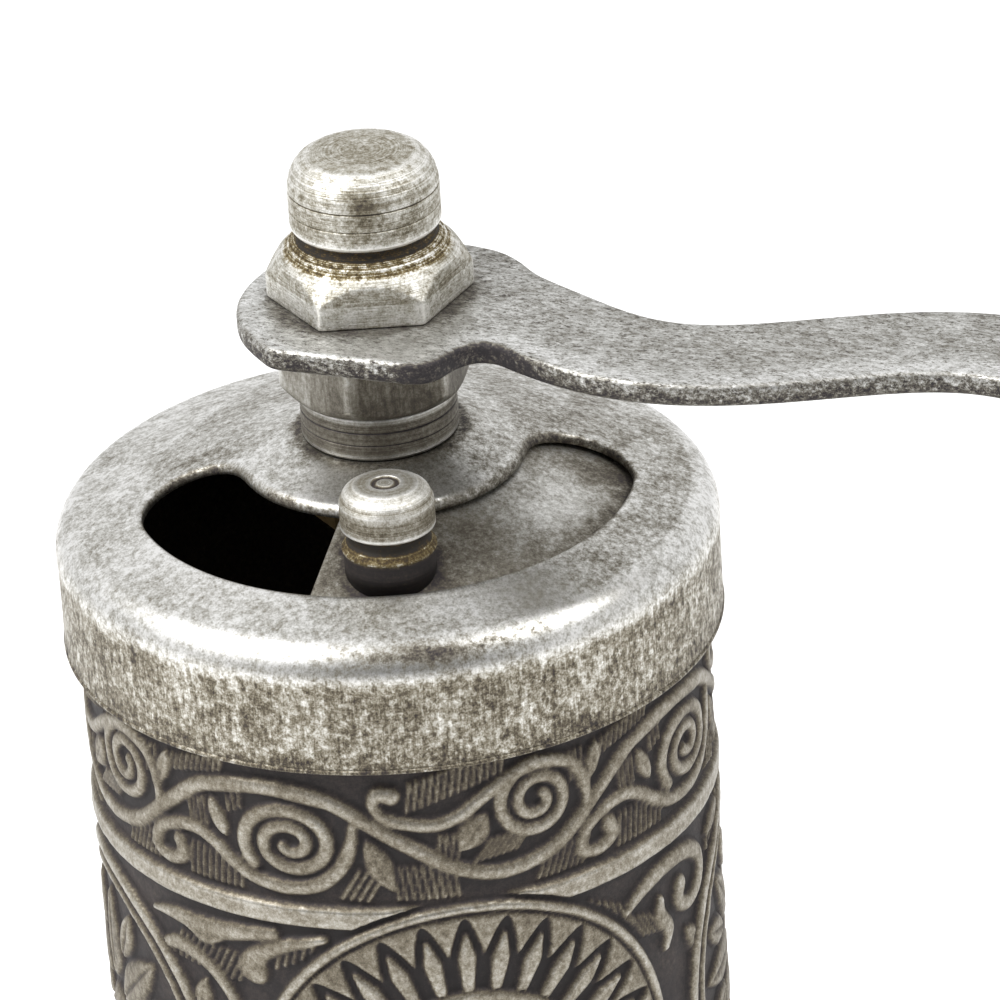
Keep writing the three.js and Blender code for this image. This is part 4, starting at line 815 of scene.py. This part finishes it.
def pewter(name, fine, broad, base, bump=0.35, grain=3.2, grain_turn=0.0, stretch=(1, 1, 1),
           streaks=0.0, streaks_below=None, rings=None, ring_share=0.0, stain=None, speckle=0.0,
           wall_flecks=0.0, rough=0.0, tint=None):
    """Antique silver plate: worn light where wear is high, olive brown to black in recesses."""
    s = Surface(name)
    tint_share = 1.0
    place = s.place(stretch, grain_turn)
    fine_noise = s.noise(place, grain, 5.0, 0.68)
    speck = s.noise(place, grain * 3.1, 3.0, 0.75)
    broad_noise = s.noise(s.place(), 0.32, 3.0, 0.55, 0.6)
    level = s.wear_and_light() + base
    for source, share in ((fine_noise, fine), (speck, fine * 0.7), (broad_noise, broad)):
        level += (source - 0.5) * (share * 2)
    height = fine_noise * 0.7 + speck * 0.5
    if speckle:
        level -= s.ramp(s.noise(place, grain * 1.9, 4.0, 0.8), [(0.36, 1.0), (0.47, 0.0)]) * speckle
    if wall_flecks:
        up = s.parts(s.node("ShaderNodeNewGeometry").outputs["Normal"])[2]
        flecks = s.noise(s.place(), 2.6, 3.0, 0.85) - 0.5
        level += (1.0 - s.math("ABSOLUTE", up)) * flecks * wall_flecks
    if streaks:
        lines = s.noise(s.place((1, 1, 0.06)), 6.5, 4.0, 0.72) - 0.5
        wisps = s.noise(s.place((1, 1, 0.3)), 2.4, 5.0, 0.75) - 0.47
        mixed = wisps * (2.6 * streaks) + lines * (1.5 * streaks)
        if streaks_below is not None:
            z = s.parts(s.place())[2]
            tint_share = ((streaks_below - z) * 0.6 + 0.5).clamped()
            mixed = (mixed - 0.05) * tint_share
            lines *= tint_share
        level += mixed
        height += lines * 2.0
    if rings is not None:
        marks = s.noise(s.rings(rings, 9.0), 1.0, 3.0, 0.6)
        level += (marks - 0.5) * (ring_share * 2)
        height += marks * 1.5
    if stain is not None:
        low, high, strength = stain
        z = s.parts(s.place())[2]
        stained = ((z - low) * 5.0).clamped() * ((high - z) * 5.0).clamped() * strength
        ridges = s.noise(s.rings(rings, 5.0), 1.0, 2.0, 0.6) - 0.5
        flecks = s.noise(s.place(), 2.2, 4.0, 0.8) - 0.5
        level += (ridges * 1.2 + flecks * 1.6) * stained
    color = s.ramp(level, PATINA)
    if tint is not None:
        fade = s.ramp(level, [(0.45, 1.0), (0.85, 0.2)])
        color = s.mix(fade * tint_share, color, tint, "MULTIPLY")
    if stain is not None:
        color = s.mix(stained, color, s.ramp(level, AMBER))
    roughness = s.ramp(level, [(0.0, 0.7), (0.4, 0.5 + rough), (0.7, 0.34 + rough), (1.0, 0.27 + rough)])
    metallic = s.ramp(level, [(0.0, 0.15), (0.35, 0.7), (0.6, 0.95), (1.0, 1.0)])
    s.bump(height, bump)
    return s.finish(color, roughness, metallic)


def plain_metal(name, light, dark, roughness, rings=None, grain=2.0):
    """A bare metal with soft mottling and, if asked, lathe marks."""
    s = Surface(name)
    height = noise = s.noise(s.place(), grain, 5.0, 0.65)
    if rings is not None:
        marks = s.noise(s.rings(rings, 10.0), 1.0, 2.0, 0.5)
        noise = noise + (marks - 0.5) * 0.6
        height = noise + marks
    s.bump(height, 0.25)
    return s.finish(s.ramp(noise, [(0.3, dark), (0.7, light)]),
                    s.ramp(noise, [(0.3, roughness + 0.12), (0.7, roughness)]), 1.0)


def dress(piece, material, body, node):
    piece.data.materials.append(material)
    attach(piece, body)
    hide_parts(node)


EMBOSSED = pewter("embossed_pewter", 0.28, 0.14, -0.045, bump=0.4, grain=2.6, tint=(1.0, 0.955, 0.88),
                  rough=0.04)
LID = pewter("pressed_pewter", 0.62, 0.32, 0.07, bump=0.45, grain=2.2, streaks=0.32,
             streaks_below=SHOULDER - 1.6, tint=(1.0, 0.955, 0.85), rough=0.03)
CONE = pewter("rubbed_pewter", 0.42, 0.3, -0.1, bump=0.3, grain=2.4, rough=0.12)
BUTTON = pewter("button_pewter", 0.34, 0.18, -0.07, rings=tuple(BUTTON_MIDDLE), ring_share=0.26,
                stain=(BUTTON_TOP - 4.5, BUTTON_TOP - 2.6, 0.9), rough=0.24, tint=(1.0, 0.965, 0.88))
FITTING = pewter("turned_pewter", 0.24, 0.14, -0.2, bump=0.4, rings=(0.0, 0.0), ring_share=0.22)
COLLAR = pewter("collar_pewter", 0.2, 0.14, -0.08, streaks=0.16)
NUT = pewter("nut_pewter", 0.5, 0.24, 0.07, bump=0.8, grain=2.4, rings=(0.0, 0.0), ring_share=0.34,
             stain=(NUT_BOTTOM + 2.95, NUT_BOTTOM + 4.95, 0.95), rough=0.18, tint=(1.0, 0.965, 0.85))
ARM = pewter("flat_pewter", 0.5, 0.2, 0.17, grain=3.0, grain_turn=-CRANK_TURN, stretch=(0.5, 1, 1),
             speckle=0.42, wall_flecks=1.6, rough=0.12, tint=(0.975, 1.0, 1.05))

# Barrel

frieze_tile = frieze()
casing = barrel_half(
    "embossed_casing",
    [(24.0, 17.1, 0.5), (24.0, 17.8, 0.5), (24.15, 18.1, 0.55), (24.5, 18.3, 0.5),
     (29.5, 18.3, 0.4), (34.9, 18.3, 0.3), (CUP_TOP, 18.35, 0.3), (CUP_TOP, 19.6, 0.4)],
    [(CUP_TOP, FRIEZE_FOOT, medallions(), 0.0), (FRIEZE_FOOT, SKIRT_BOTTOM, frieze_tile, 0.0)],
    [(SKIRT_BOTTOM + 0.2, GROUND, 0.2), (CASING_TOP - 0.2, GROUND, 0.3), (CASING_TOP, 19.5, 0.4),
     (CASING_TOP, 18.9, 0.4), (CASING_TOP - 0.2, 18.7, 0.35), (60.0, 18.7, 0.3),
     (37.2, 18.7, 0.3), (37.0, 18.5, 0.3), (37.0, 17.3, 0.4), (36.8, 17.1, 0.4), (30.0, 17.1, 0.4)])
dress(casing, EMBOSSED, "casing", "hopper_shell")

lower_band = FOOT_TOP + 10
cup = barrel_half(
    "embossed_cup",
    [(0.0, 0.0, 0.3), (0.0, 10.0, 0.3), (0.0, 19.5, 0.5), (0.03, 19.95, 0.6), (0.15, 20.35, 0.75),
     (0.4, 20.7, 0.8), (0.75, 20.92, 0.75), (1.2, 21.0, 0.6), (2.5, 21.0, 0.55), (4.2, 21.0, 0.55),
     (6.0, 21.0, 0.55), (7.4, 21.0, 0.6), (7.75, 20.95, 0.72), (8.05, 20.8, 0.8), (8.27, 20.58, 0.75),
     (8.38, 20.25, 0.6), (FOOT_TOP, 19.9, 0.2)],
    [(FOOT_TOP + 0.02, lower_band, frieze_tile, lower_band - SKIRT_BOTTOM),
     (lower_band, lower_band + BAND_HEIGHT, None, 0),
     (lower_band + BAND_HEIGHT, CUP_TOP - BAND_HEIGHT, arcade(), 0.0),
     (CUP_TOP - BAND_HEIGHT, CUP_TOP, None, 0)],
    [(CUP_TOP, 19.7, 0.5), (CUP_TOP, 18.85, 0.6), (CUP_TOP - 0.08, 18.68, 0.6),
     (CUP_TOP - 0.25, 18.6, 0.5), (20.0, 18.6, 0.4), (3.0, 18.6, 0.3), (2.2, 18.4, 0.2),
     (1.75, 17.9, 0.2), (1.6, 17.3, 0.25), (1.6, 9.0, 0.35), (1.6, 0.0, 0.35)])
dress(cup, EMBOSSED, "cup", "receiving_cup")

# Lid

LID_COLUMNS = 480
JOIN = 19.2
CAMERA_REFLECTION_ANGLE = math.radians(276)


def slot_line():
    """Outline of the kidney slot."""
    start, end = SLOT_MIDDLE - SLOT_HALF_SPAN, SLOT_MIDDLE + SLOT_HALF_SPAN
    along = np.linspace(start, end, 240)
    turn = np.linspace(0, math.pi, 40)[1:-1]
    last, first = (polar(SLOT_HALF_WIDTH, facing + turn,
                         SLOT_RADIUS * np.array([math.cos(angle), math.sin(angle)]))
                   for angle, facing in ((end, end), (start, start + math.pi)))
    line = np.concatenate([polar(SLOT_RADIUS + SLOT_HALF_WIDTH, along), last,
                           polar(SLOT_RADIUS - SLOT_HALF_WIDTH, along[::-1]), first])
    return blur(even_loop(line, 0.1), 6.5, 0, True)


def lid_wear_and_light(points, gaps):
    radius = np.hypot(*points.T)
    # Painted light: the cone is lighter towards the left (-x) and darker towards the right.
    return (0.56 + 0.1 * bell(gaps[1], 0.5, 0.3) - 0.22 * bell(gaps[1], 0, 0.22)
            - 0.35 * bell(radius, 5.2, 0.5) - 0.0045 * points[:, 0]
            + 0.09 * rise(radius, 11, -2) + 0.1 * rise(radius, 12.5, 5))


def build_lid():
    """The cone as a cut sheet, joined along a ring to a turned shoulder, skirt and hem."""
    spokes = [circle(radius, int(TAU * radius / 0.5)) for radius in np.arange(4.9, JOIN - 0.2, 0.45)]
    points, quads, triangles, wear_and_light, where, count = sheet_piece(
        circle(JOIN, LID_COLUMNS), [slot_line(), circle(SPINDLE_HOLE, 100)],
        lambda p: cone_height(np.hypot(*p.T)), SHEET_DROP, 0.42, 0.05, 0.45, lid_wear_and_light,
        plain_outer=True, filling=np.concatenate(spokes))
    angle = np.arctan(CONE_SLOPE)
    middle_radius = LID_RADIUS - LID_FILLET
    middle_height = cone_height(middle_radius) - LID_FILLET / math.cos(angle)
    middle = (middle_radius, middle_height)
    bore = LID_RADIUS - SHEET
    skirt = np.linspace(middle_height - 0.3, SKIRT_BOTTOM + 0.42, 22)
    inset = SKIRT_INSET * np.maximum(0, 1 - (middle_height - skirt) / 0.9)
    line = np.concatenate([
        [(JOIN, cone_height(JOIN))],
        polar(LID_FILLET, np.linspace(math.pi / 2 - angle, 0, 14), middle),
        np.stack([LID_RADIUS - SKIRT_INSET + inset, skirt], -1),
        polar(LID_BEAD, np.radians(np.linspace(80, -90, 8)),
              (LID_RADIUS - LID_BEAD, SKIRT_BOTTOM + LID_BEAD)),
        [(bore + 0.1, SKIRT_BOTTOM), (bore, SKIRT_BOTTOM + 0.1), (bore, 78.0)],
        polar(LID_FILLET - SHEET, np.linspace(0, math.pi / 2 - angle, 6), middle),
        [(JOIN, cone_height(JOIN) - SHEET_DROP)]])[::-1]
    z = line[:, 1]
    worn = 0.55 + (profile_wear(line, 0.35, 0.12, closed=False) - 0.55) * 0.5
    worn = (worn + 0.13 * rise(z, SHOULDER - 2.6, 1.8) - 0.06 * rise(z, SHOULDER - 2.0, -0.8)
            - 0.1 * rise(z, SKIRT_BOTTOM + 1.9, -1.2))
    worn = np.where(z < SKIRT_BOTTOM + 0.5, 0.36, worn)
    spin = around(LID_COLUMNS)
    ring = np.concatenate([polar(line[:, :1], spin), np.repeat(line[:, 1:, None], LID_COLUMNS, 1)], -1)
    index = len(points) + np.arange(len(line) * LID_COLUMNS).reshape(len(line), LID_COLUMNS)
    index[0] = where[:LID_COLUMNS] + count
    index[-1] = where[:LID_COLUMNS]
    low, high = index[:-1], index[1:]
    faces = np.stack([low, np.roll(low, -1, 1), np.roll(high, -1, 1), high], -1).reshape(-1, 4)
    # Painted reflection of the camera: a dark patch on the front of the shoulder.
    camera_reflection = bell(spin, CAMERA_REFLECTION_ANGLE, 0.24) * bell(line[:, 1:], SHOULDER - 0.55, 0.55)
    return make_piece("pressed_lid", np.concatenate([points, ring.reshape(-1, 3)]),
                      np.concatenate([quads, faces]), triangles,
                      np.concatenate([wear_and_light, (worn[:, None] - 0.5 * camera_reflection).ravel()]))


dress(build_lid(), LID, "casing", "lid")

# Shutter

def shutter_line():
    """Outline of the shutter: a sector that runs into a round eye."""
    start = math.radians(-109)
    end = start + math.radians(199)
    return np.concatenate([polar(17.2, np.linspace(start, end, 120)),
                           polar(6.6, np.linspace(end, start + TAU, 60))])


def shutter_top(points):
    return cone_height(np.hypot(points[..., 0], points[..., 1])) - SHUTTER_DROP


def shutter_wear_and_light(points, gaps):
    x, y = points.T
    near = np.hypot(*(points - BUTTON_MIDDLE).T)
    # Painted shadow of the lid's slot edge: darker towards the outer right of the sheet.
    rim = rise(np.hypot(x, y), 13.6, 2.6) * rise(x, 7, 5)
    # Painted highlight: a bright patch on the right lobe.
    painted_highlight = 0.27 * bell(np.hypot(x - 10.2, y + 5.8), 0, 3.6)
    around_button = 0.12 * rise(near, 8, -5) + 0.25 * bell(near, 2.9, 0.35)
    return 0.62 + 0.12 * bell(gaps[0], 0.2, 0.2) + painted_highlight - around_button - 0.3 * rim


shutter = make_piece("shutter_sheet", *sheet_piece(
    shutter_line(), [circle(SPINDLE_HOLE, 90), circle(1.5, 40, BUTTON_MIDDLE)], shutter_top,
    SHEET_DROP, 0.16, 0.08, 0.5, shutter_wear_and_light)[:4])
dress(shutter, CONE, "shutter", "shutter_plate")


def build_button():
    """The shutter's turned knob, with its foot cut to the cone and its rivet below."""
    top = shutter_top(np.array([SLOT_RADIUS, 0.0])) + BUTTON_HEIGHT
    line = eased([(radius, top - drop, rounding) for radius, drop, rounding in (
        (0, 8.05, 0), (1.6, 8.05, 0.25), (2.0, 7.8, 0.2), (2.0, 7.4, 0.05), (1.2, 7.4, 0.05),
        (1.2, 5.5, 0), (2.85, 5.5, 0), (2.86, 4.42, 0.04), (2.95, 4.34, 0.03), (2.95, 4.22, 0.03),
        (2.5, 3.6, 0.3), (2.52, 3.1, 0.1), (2.95, 2.8, 0.12), (2.95, 1.15, 0.5), (2.62, 0.45, 0.5),
        (1.95, 0.06, 0.4), (0.95, 0, 0.05), (0.82, 0.12, 0.06), (0.62, 0.1, 0.06), (0.5, 0.01, 0.08),
        (0, 0, 0))], 0.2, closed=False)
    drop = top - line[:, 1]
    wear_and_light = profile_wear(line, 0.3, 0.14, closed=False)
    wear_and_light = np.where(drop > 4.45, 0.1, wear_and_light) + np.where(drop < 0.4, 0.1, 0)
    wear_and_light = np.minimum(wear_and_light, np.where(drop > 3.2, 0.5, 1)) - 0.2 * bell(drop, 3.75, 0.6)
    columns = 128
    radius, height = np.repeat(line[:, :1], columns, 1), np.repeat(line[:, 1:], columns, 1)
    foot = (line[:, 0] > 2.7) & (drop > 5.3)
    height[foot] = shutter_top(polar(radius[foot], around(columns), BUTTON_MIDDLE)) + 0.02
    return grid_piece("shutter_button", radius, height, wear_and_light[:, None], closed=False,
                      centre=BUTTON_MIDDLE)


dress(build_button(), BUTTON, "shutter", "shutter_knob")

# Bush, hexagonal collar and cap nut

bush = turned_piece("bearing_bush", [
    (3.4, BUSH_BOTTOM, 0.1), (4.2, BUSH_BOTTOM, 0.1), (4.2, BUSH_FOOT, 0.02), (4.82, BUSH_FOOT, 0.08),
    (4.95, BUSH_FOOT + 0.2, 0.1), (4.95, BUSH_FOOT + 0.98, 0.02), (4.88, BUSH_FOOT + 1.05, 0.02),
    (4.95, BUSH_FOOT + 1.12, 0.02), (4.95, BUSH_FOOT + 1.83, 0.02), (4.87, BUSH_FOOT + 1.91, 0.02),
    (4.95, BUSH_FOOT + 1.99, 0.02), (4.95, BUSH_TOP - 0.2, 0.08), (4.83, BUSH_TOP, 0.06),
    (3.4, BUSH_TOP, 0.1)], 0.2)
dress(bush, FITTING, "casing", "top_bush")


def hexagon(corner, angle, sharpness):
    """Radius of a hexagon with slightly eased corners; a corner lies at angle 0."""
    apothem = corner * math.cos(math.pi / 6)
    total = sum(np.maximum(np.cos(angle - math.radians(30 + 60 * k)), 1e-3) ** sharpness
                for k in range(6))
    return apothem / total ** (1 / sharpness)


def soft_least(a, b, blend):
    h = np.clip(0.5 + 0.5 * (b - a) / blend, 0, 1)
    return b * (1 - h) + a * h - blend * h * (1 - h)


def build_collar():
    angle = around(360)
    outline = hexagon(6.3, angle, 70)
    across = angle + COLLAR_TURN - CRANK_TURN
    hole = SQUARE_HALF / np.maximum(np.abs(np.cos(across)), np.abs(np.sin(across)))
    chamfer = COLLAR_BOTTOM + 1.3
    side = np.concatenate([np.linspace(COLLAR_BOTTOM, chamfer, 14),
                           np.linspace(chamfer, COLLAR_TOP - 0.1, 14)[1:]])
    radius, height, wear_and_light = even_rows(
        [(hole, COLLAR_BOTTOM, 0.4), (hole * 0.5 + 2.2, COLLAR_BOTTOM, 0.4), (4.9, COLLAR_BOTTOM, 0.5)]
        + [(soft_least(outline, 5.3 + (z - COLLAR_BOTTOM), 0.12), z, 0.62) for z in side]
        + [(outline * 0.985, COLLAR_TOP - 0.02, 0.6), (outline * 0.96, COLLAR_TOP, 0.6),
           (hole, COLLAR_TOP, 0.5)], len(angle))
    edge = rise(outline / outline.min(), 1.09, 0.06) * 0.2
    # Painted shade: the facets towards the front right are darker.
    edge = edge - 0.18 * np.clip(np.cos(angle + COLLAR_TURN + math.radians(52)), 0, 1) ** 0.5
    return grid_piece("six_sided_collar", radius, height, wear_and_light + edge, turn=COLLAR_TURN)


dress(build_collar(), COLLAR, "spindle", "hex_collar")


def build_nut():
    angle = around(420)
    outline = hexagon(6.52, angle, 80)
    hex_top = NUT_BOTTOM + HEX_HEIGHT
    neck = ((5.03, 0, 0.12), (4.92, 0.32, 0.05), (4.7, 0.4, 0.05), (4.72, 0.5, 0.05), (4.45, 0.66, 0.05),
            (4.42, 0.78, 0.05), (4.25, 0.9, 0.1), (4.25, 1.2, 0.15), (4.6, 1.42, 0.12),
            (4.73, 1.6, 0.12), (4.73, 2.68, 0.02), (4.66, 2.74, 0.02), (4.73, 2.82, 0.02),
            (4.73, 3.88, 0.02), (4.65, 3.95, 0.02), (4.73, 4.04, 0.02))
    dome = ((4.7, 2.0, 0.5), (4.57, 1.45, 0.5), (4.37, 1.0, 0.5), (4.04, 0.55, 0.5), (3.5, 0.21, 0.5),
            (2.5, 0.04, 0.8), (0, 0, 0))
    line = eased([(6.525, NUT_BOTTOM + 1.48, 0.3), (5.65, NUT_BOTTOM + 2.8, 0.4)]
                 + [(radius, hex_top + up, rounding) for radius, up, rounding in neck]
                 + [(radius, NUT_TOP - drop, rounding) for radius, drop, rounding in dome],
                 0.12, closed=False)
    worn = profile_wear(line, 0.3, 0.16, closed=False)
    ridges = (line[:, 1] > hex_top + 0.1) & (line[:, 1] < hex_top + 1.3)
    worn = np.where(ridges, np.minimum(worn, 0.5), worn)
    radius, height, wear_and_light = even_rows(
        [(0, NUT_TOP - 1.9, 0.3), (2.4, NUT_TOP - 1.9, 0.3), (2.4, NUT_BOTTOM, 0.4),
         (outline * 0.7, NUT_BOTTOM, 0.4), (outline - 0.12, NUT_BOTTOM, 0.6),
         (outline - 0.03, NUT_BOTTOM + 0.04, 0.7)]
        + [(outline, z, 0.72) for z in np.linspace(NUT_BOTTOM + 0.12, line[0][1], 16)]
        + [(soft_least(outline, r, 0.06) if r > 5.0 else r, z, w)
           for (r, z), w in zip(line[1:], worn[1:])],
        len(angle))
    wear_and_light = wear_and_light - 0.42 * bell(height, hex_top + 0.95, 0.45)
    wear_and_light = wear_and_light + rise(outline / outline.min(), 1.1, 0.05) * 0.16 * (height < hex_top)
    # Painted reflection of the camera: a dark patch on the front, low on the dome.
    wear_and_light = wear_and_light - 0.4 * bell(from_front(angle), 0, 0.2) * bell(height, NUT_TOP - 2.0, 1.1)
    return grid_piece("domed_nut", radius, height, wear_and_light, closed=False)


dress(build_nut(), NUT, "spindle", "cap_nut")

# Crank

CRANK_LENGTH = 70.2
EYE = 7.9
BOSS = 6.0
ARM_START = 12.2
ARM_END = CRANK_LENGTH - BOSS
ARM_HALF = 4.32
ARM_END_HALF = 3.5


def smoothstep(x, low, high):
    t = rise(x, low, high - low)
    return t * t * (3 - 2 * t)


def arm_line(x):
    fade = 1 - 0.65 * smoothstep(x, 0.6 * CRANK_LENGTH, 0.86 * CRANK_LENGTH)
    return -3.25 * fade * np.sin(TAU * (x - 9.9) / 40.2)


def arm_edge(side):
    x = np.linspace(ARM_START, ARM_END, 90)
    slope = (arm_line(x + 0.01) - arm_line(x - 0.01)) / 0.02
    length = np.hypot(slope, 1)
    half = ARM_HALF + (ARM_END_HALF - ARM_HALF) * smoothstep(x, 0.5 * CRANK_LENGTH, ARM_END)
    return np.stack([x - side * half * slope / length, arm_line(x) + side * half / length], -1)


def crank_line():
    """Outline of the arm, with its eye at the spindle and its boss at the knob."""
    def eye(*places):
        return list(np.array(places) * EYE)
    near, far = arm_edge(-1), arm_edge(1)[::-1]
    first = math.atan2(near[-1][1], near[-1][0] - CRANK_LENGTH) + 0.35
    last = math.atan2(far[0][1], far[0][0] - CRANK_LENGTH) - 0.35
    line = np.concatenate([
        eye((-0.36, -1.2)),
        spline(eye((0.84, -1.15), (0.99, -1.04), (1.04, -0.85), (1.12, -0.7), (1.2, -0.64))
               + [near[0]], 50),
        near[1:], polar(BOSS, np.linspace(first, last, 50), (CRANK_LENGTH, 0)), far[:-1],
        spline([far[-1]] + eye((1.2, 0.62), (0.96, 0.81), (0.72, 0.95), (0.38, 1), (0, 1)), 50)[:-1],
        spline(eye((0, 1), (-0.52, 0.88), (-0.86, 0.52), (-0.99, 0), (-0.95, -0.46), (-0.74, -0.86),
                   (-0.36, -1.2)), 60)[:-1]])
    return blur(even_loop(line, 0.1), 4.5, 0, True)


def arm_wear_and_light(points, gaps):
    """Painted highlight along the near edge and painted shade on the root's wall; dark on the rim and
    round the nut.
    """
    x, y = points.T
    gap = gaps[0]
    near = np.clip(0.5 - (y - arm_line(x)), 0, 1)
    wear_and_light = 0.5 + 0.17 * near * np.exp(-(gap / 2.1) ** 4) - 0.3 * bell(gap, 0, 0.2)
    root = smoothstep(x, 5.2, 6.4) * (1 - smoothstep(x, 11.5, 15.5)) * near
    return wear_and_light - 0.5 * root * bell(gap, 0, 0.3) - 0.28 * bell(np.hypot(x, y), 6.1, 0.6)


square = np.array([(1, 1), (-1, 1), (-1, -1), (1, -1)]) * SQUARE_HALF
points, quads, triangles, wear_and_light, *_ = sheet_piece(
    crank_line(), [square, circle(1.9, 60, (CRANK_LENGTH, 0))],
    lambda p: np.full(len(p), CRANK_TOP), CRANK_TOP - CRANK_BOTTOM, 0.4, 0.4, 0.6, arm_wear_and_light, step=0.28)
turn = np.array([[math.cos(CRANK_TURN), -math.sin(CRANK_TURN)],
                 [math.sin(CRANK_TURN), math.cos(CRANK_TURN)]])
points[:, :2] = points[:, :2] @ turn.T
# Painted shade: the underside and the lower edge of the walls are darker.
wear_and_light[len(wear_and_light) // 2:] -= 0.2
arm = make_piece("waved_crank", points, quads, triangles, wear_and_light)
dress(arm, ARM, "spindle", "crank_arm")

# Crank knob

knob_axis = tuple(turn @ np.array([CRANK_LENGTH, 0.0]))
tall = KNOB_TOP - KNOB_BOTTOM
outside = spline([(0.62, 0.0), (0.655, 0.03), (0.66, 0.06), (0.6, 0.12), (0.48, 0.2), (0.56, 0.3),
                  (0.84, 0.44), (0.98, 0.58), (1, 0.68), (0.93, 0.82), (0.74, 0.94), (0.5, 0.995)], 90)
handle = turned_piece("turned_handle", [
    (1.9, KNOB_BOTTOM, 0.1), (4.1, KNOB_BOTTOM, 0.1),
    *((6.95 * r, KNOB_BOTTOM + tall * max(z, 0.008), 0) for r, z in outside),
    (3.2, KNOB_TOP, 0.1), (2.9, KNOB_TOP - 0.1, 0.1), (2.9, KNOB_TOP - 1.1, 0.1),
    (1.9, KNOB_TOP - 1.1, 0.1)], 0.16, knob_axis, 0.4)
KNOB = pewter("handle_pewter", 0.2, 0.16, 0.0, rings=knob_axis, ring_share=0.12)
dress(handle, KNOB, "knob", "crank_knob")

# Inner pieces keep the frame's forms and get their finish

STEEL = plain_metal("turned_steel", (0.52, 0.52, 0.53), (0.36, 0.36, 0.37), 0.32, rings=(0.0, 0.0))
BURR = plain_metal("burr_steel_dull", (0.27, 0.27, 0.28), (0.14, 0.14, 0.145), 0.45, grain=1.5)
SPRING = plain_metal("spring_steel_drawn", (0.5, 0.5, 0.52), (0.38, 0.38, 0.4), 0.28, grain=3.0)
BRASS = plain_metal("turned_brass", (0.56, 0.42, 0.2), (0.36, 0.26, 0.12), 0.4, rings=(0.0, 0.0))
KEPT = {
    STEEL: ("spindle", "knob_washer", "knob_pin", "spring_seat", "thrust_washer", "bridge_screw_1",
            "bridge_screw_2", "bridge_screw_3"),
    BURR: ("inner_burr", "outer_burr"),
    SPRING: ("spindle_clip", "friction_washer", "burr_snap_ring", "burr_spring"),
    BRASS: ("burr_carrier", "spindle_bridge", "bush_nut", "adjusting_nut"),
}
for material, nodes in KEPT.items():
    for node in nodes:
        kept = bpy.data.objects[node]
        kept.data.materials.clear()
        kept.data.materials.append(material)
        kept.data.shade_smooth()
        kept.data.set_sharp_from_angle(angle=math.radians(32))

# Burr spring: a copy of the frame's spring, with its transform baked in

spring = add_object("pressed_spring", bpy.data.objects["burr_spring"].data.copy())
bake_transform(spring)
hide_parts("burr_spring")

# Stage: white paper, a bright room with a darker side towards the camera

def stage_floor():
    """A wide sheet of paper, white under the mill and grey far in front of it, that can be
    looked through from below."""
    half, drop = 4000.0 * MM, -0.02 * MM
    mesh = bpy.data.meshes.new("paper")
    corners = [(-half, -half, drop), (half, -half, drop), (half, half, drop), (-half, half, drop)]
    mesh.from_pydata(corners, [], [(0, 1, 2, 3)])
    paper = add_object("paper", mesh)
    s = Surface("paper_white")
    y = s.parts(s.place())[1]
    s.put(s.shader.inputs["Specular IOR Level"], 0.0)
    # Painted shade: the paper turns grey far in front, standing for the room's darker side.
    tone = s.ramp(((-110 - y) * (1 / 390)).clamped(), [(0.0, 0.95), (1.0, 0.42)])
    mesh.materials.append(s.finish(tone, 1.0, 0.0))
    open_below = s.node("ShaderNodeMixShader", (), {
        0: s.node("ShaderNodeNewGeometry").outputs["Backfacing"], 1: s.shader.outputs[0],
        2: s.node("ShaderNodeBsdfTransparent").outputs[0]})
    s.put(s.output.inputs["Surface"], open_below.outputs[0])


def area_light(name, place, size, power):
    data = bpy.data.lights.new(name, "AREA")
    data.shape = "DISK"
    data.size = size * MM
    data.energy = power
    lamp = add_object(name, data)
    place, target = Vector(place) * MM, Vector((0, 0, 80)) * MM
    lamp.location = place
    lamp.rotation_euler = (target - place).to_track_quat("-Z", "Y").to_euler()


stage_floor()
area_light("window", (-260, -120, 420), 260, 1.75)
area_light("lamp", (285, -120, 480), 150, 0.95)

world = bpy.data.worlds.new("room")
bpy.context.scene.world = world
world.use_nodes = True
room = Nodes(world.node_tree)
facing = room.node("ShaderNodeVectorMath", {"operation": "DOT_PRODUCT"}, {
    0: room.node("ShaderNodeTexCoord").outputs["Generated"],
    1: Vector((0.05, -1.0, -0.12)).normalized()})
walls = room.ramp(facing.outputs["Value"], [(0.6, 1.0), (0.93, (0.06, 0.06, 0.065))])
background = room.node("ShaderNodeBackground", Color=walls, Strength=0.95)
room.node("ShaderNodeOutputWorld", Surface=background.outputs[0])

# Camera, fitted to the lid's edge and the crank in the photograph

DOWN = math.radians(27.33)
ROLL = math.radians(-3.73)
DISTANCE = 500
FOCAL_PIXELS = 7936.74
forward = Vector((0, math.cos(DOWN), -math.sin(DOWN)))
right = Vector((1, 0, 0))
above = right.cross(forward)
place = right * 7.17 + above * -0.75 - forward * DISTANCE + Vector((0, 0, SHOULDER))
side = right * math.cos(ROLL) + above * math.sin(ROLL)
head = above * math.cos(ROLL) - right * math.sin(ROLL)
camera_data = bpy.data.cameras.new("camera")
camera_data.sensor_width = 36
camera_data.lens = FOCAL_PIXELS / 1000 * 36
camera_data.clip_start = 0.01
camera_data.clip_end = 10
camera = add_object("camera", camera_data)
axes = Matrix((side, head, -forward)).transposed().to_4x4()
camera.matrix_world = Matrix.Translation(place * MM) @ axes
bpy.context.scene.camera = camera
bpy.context.scene.view_settings.view_transform = "Standard"
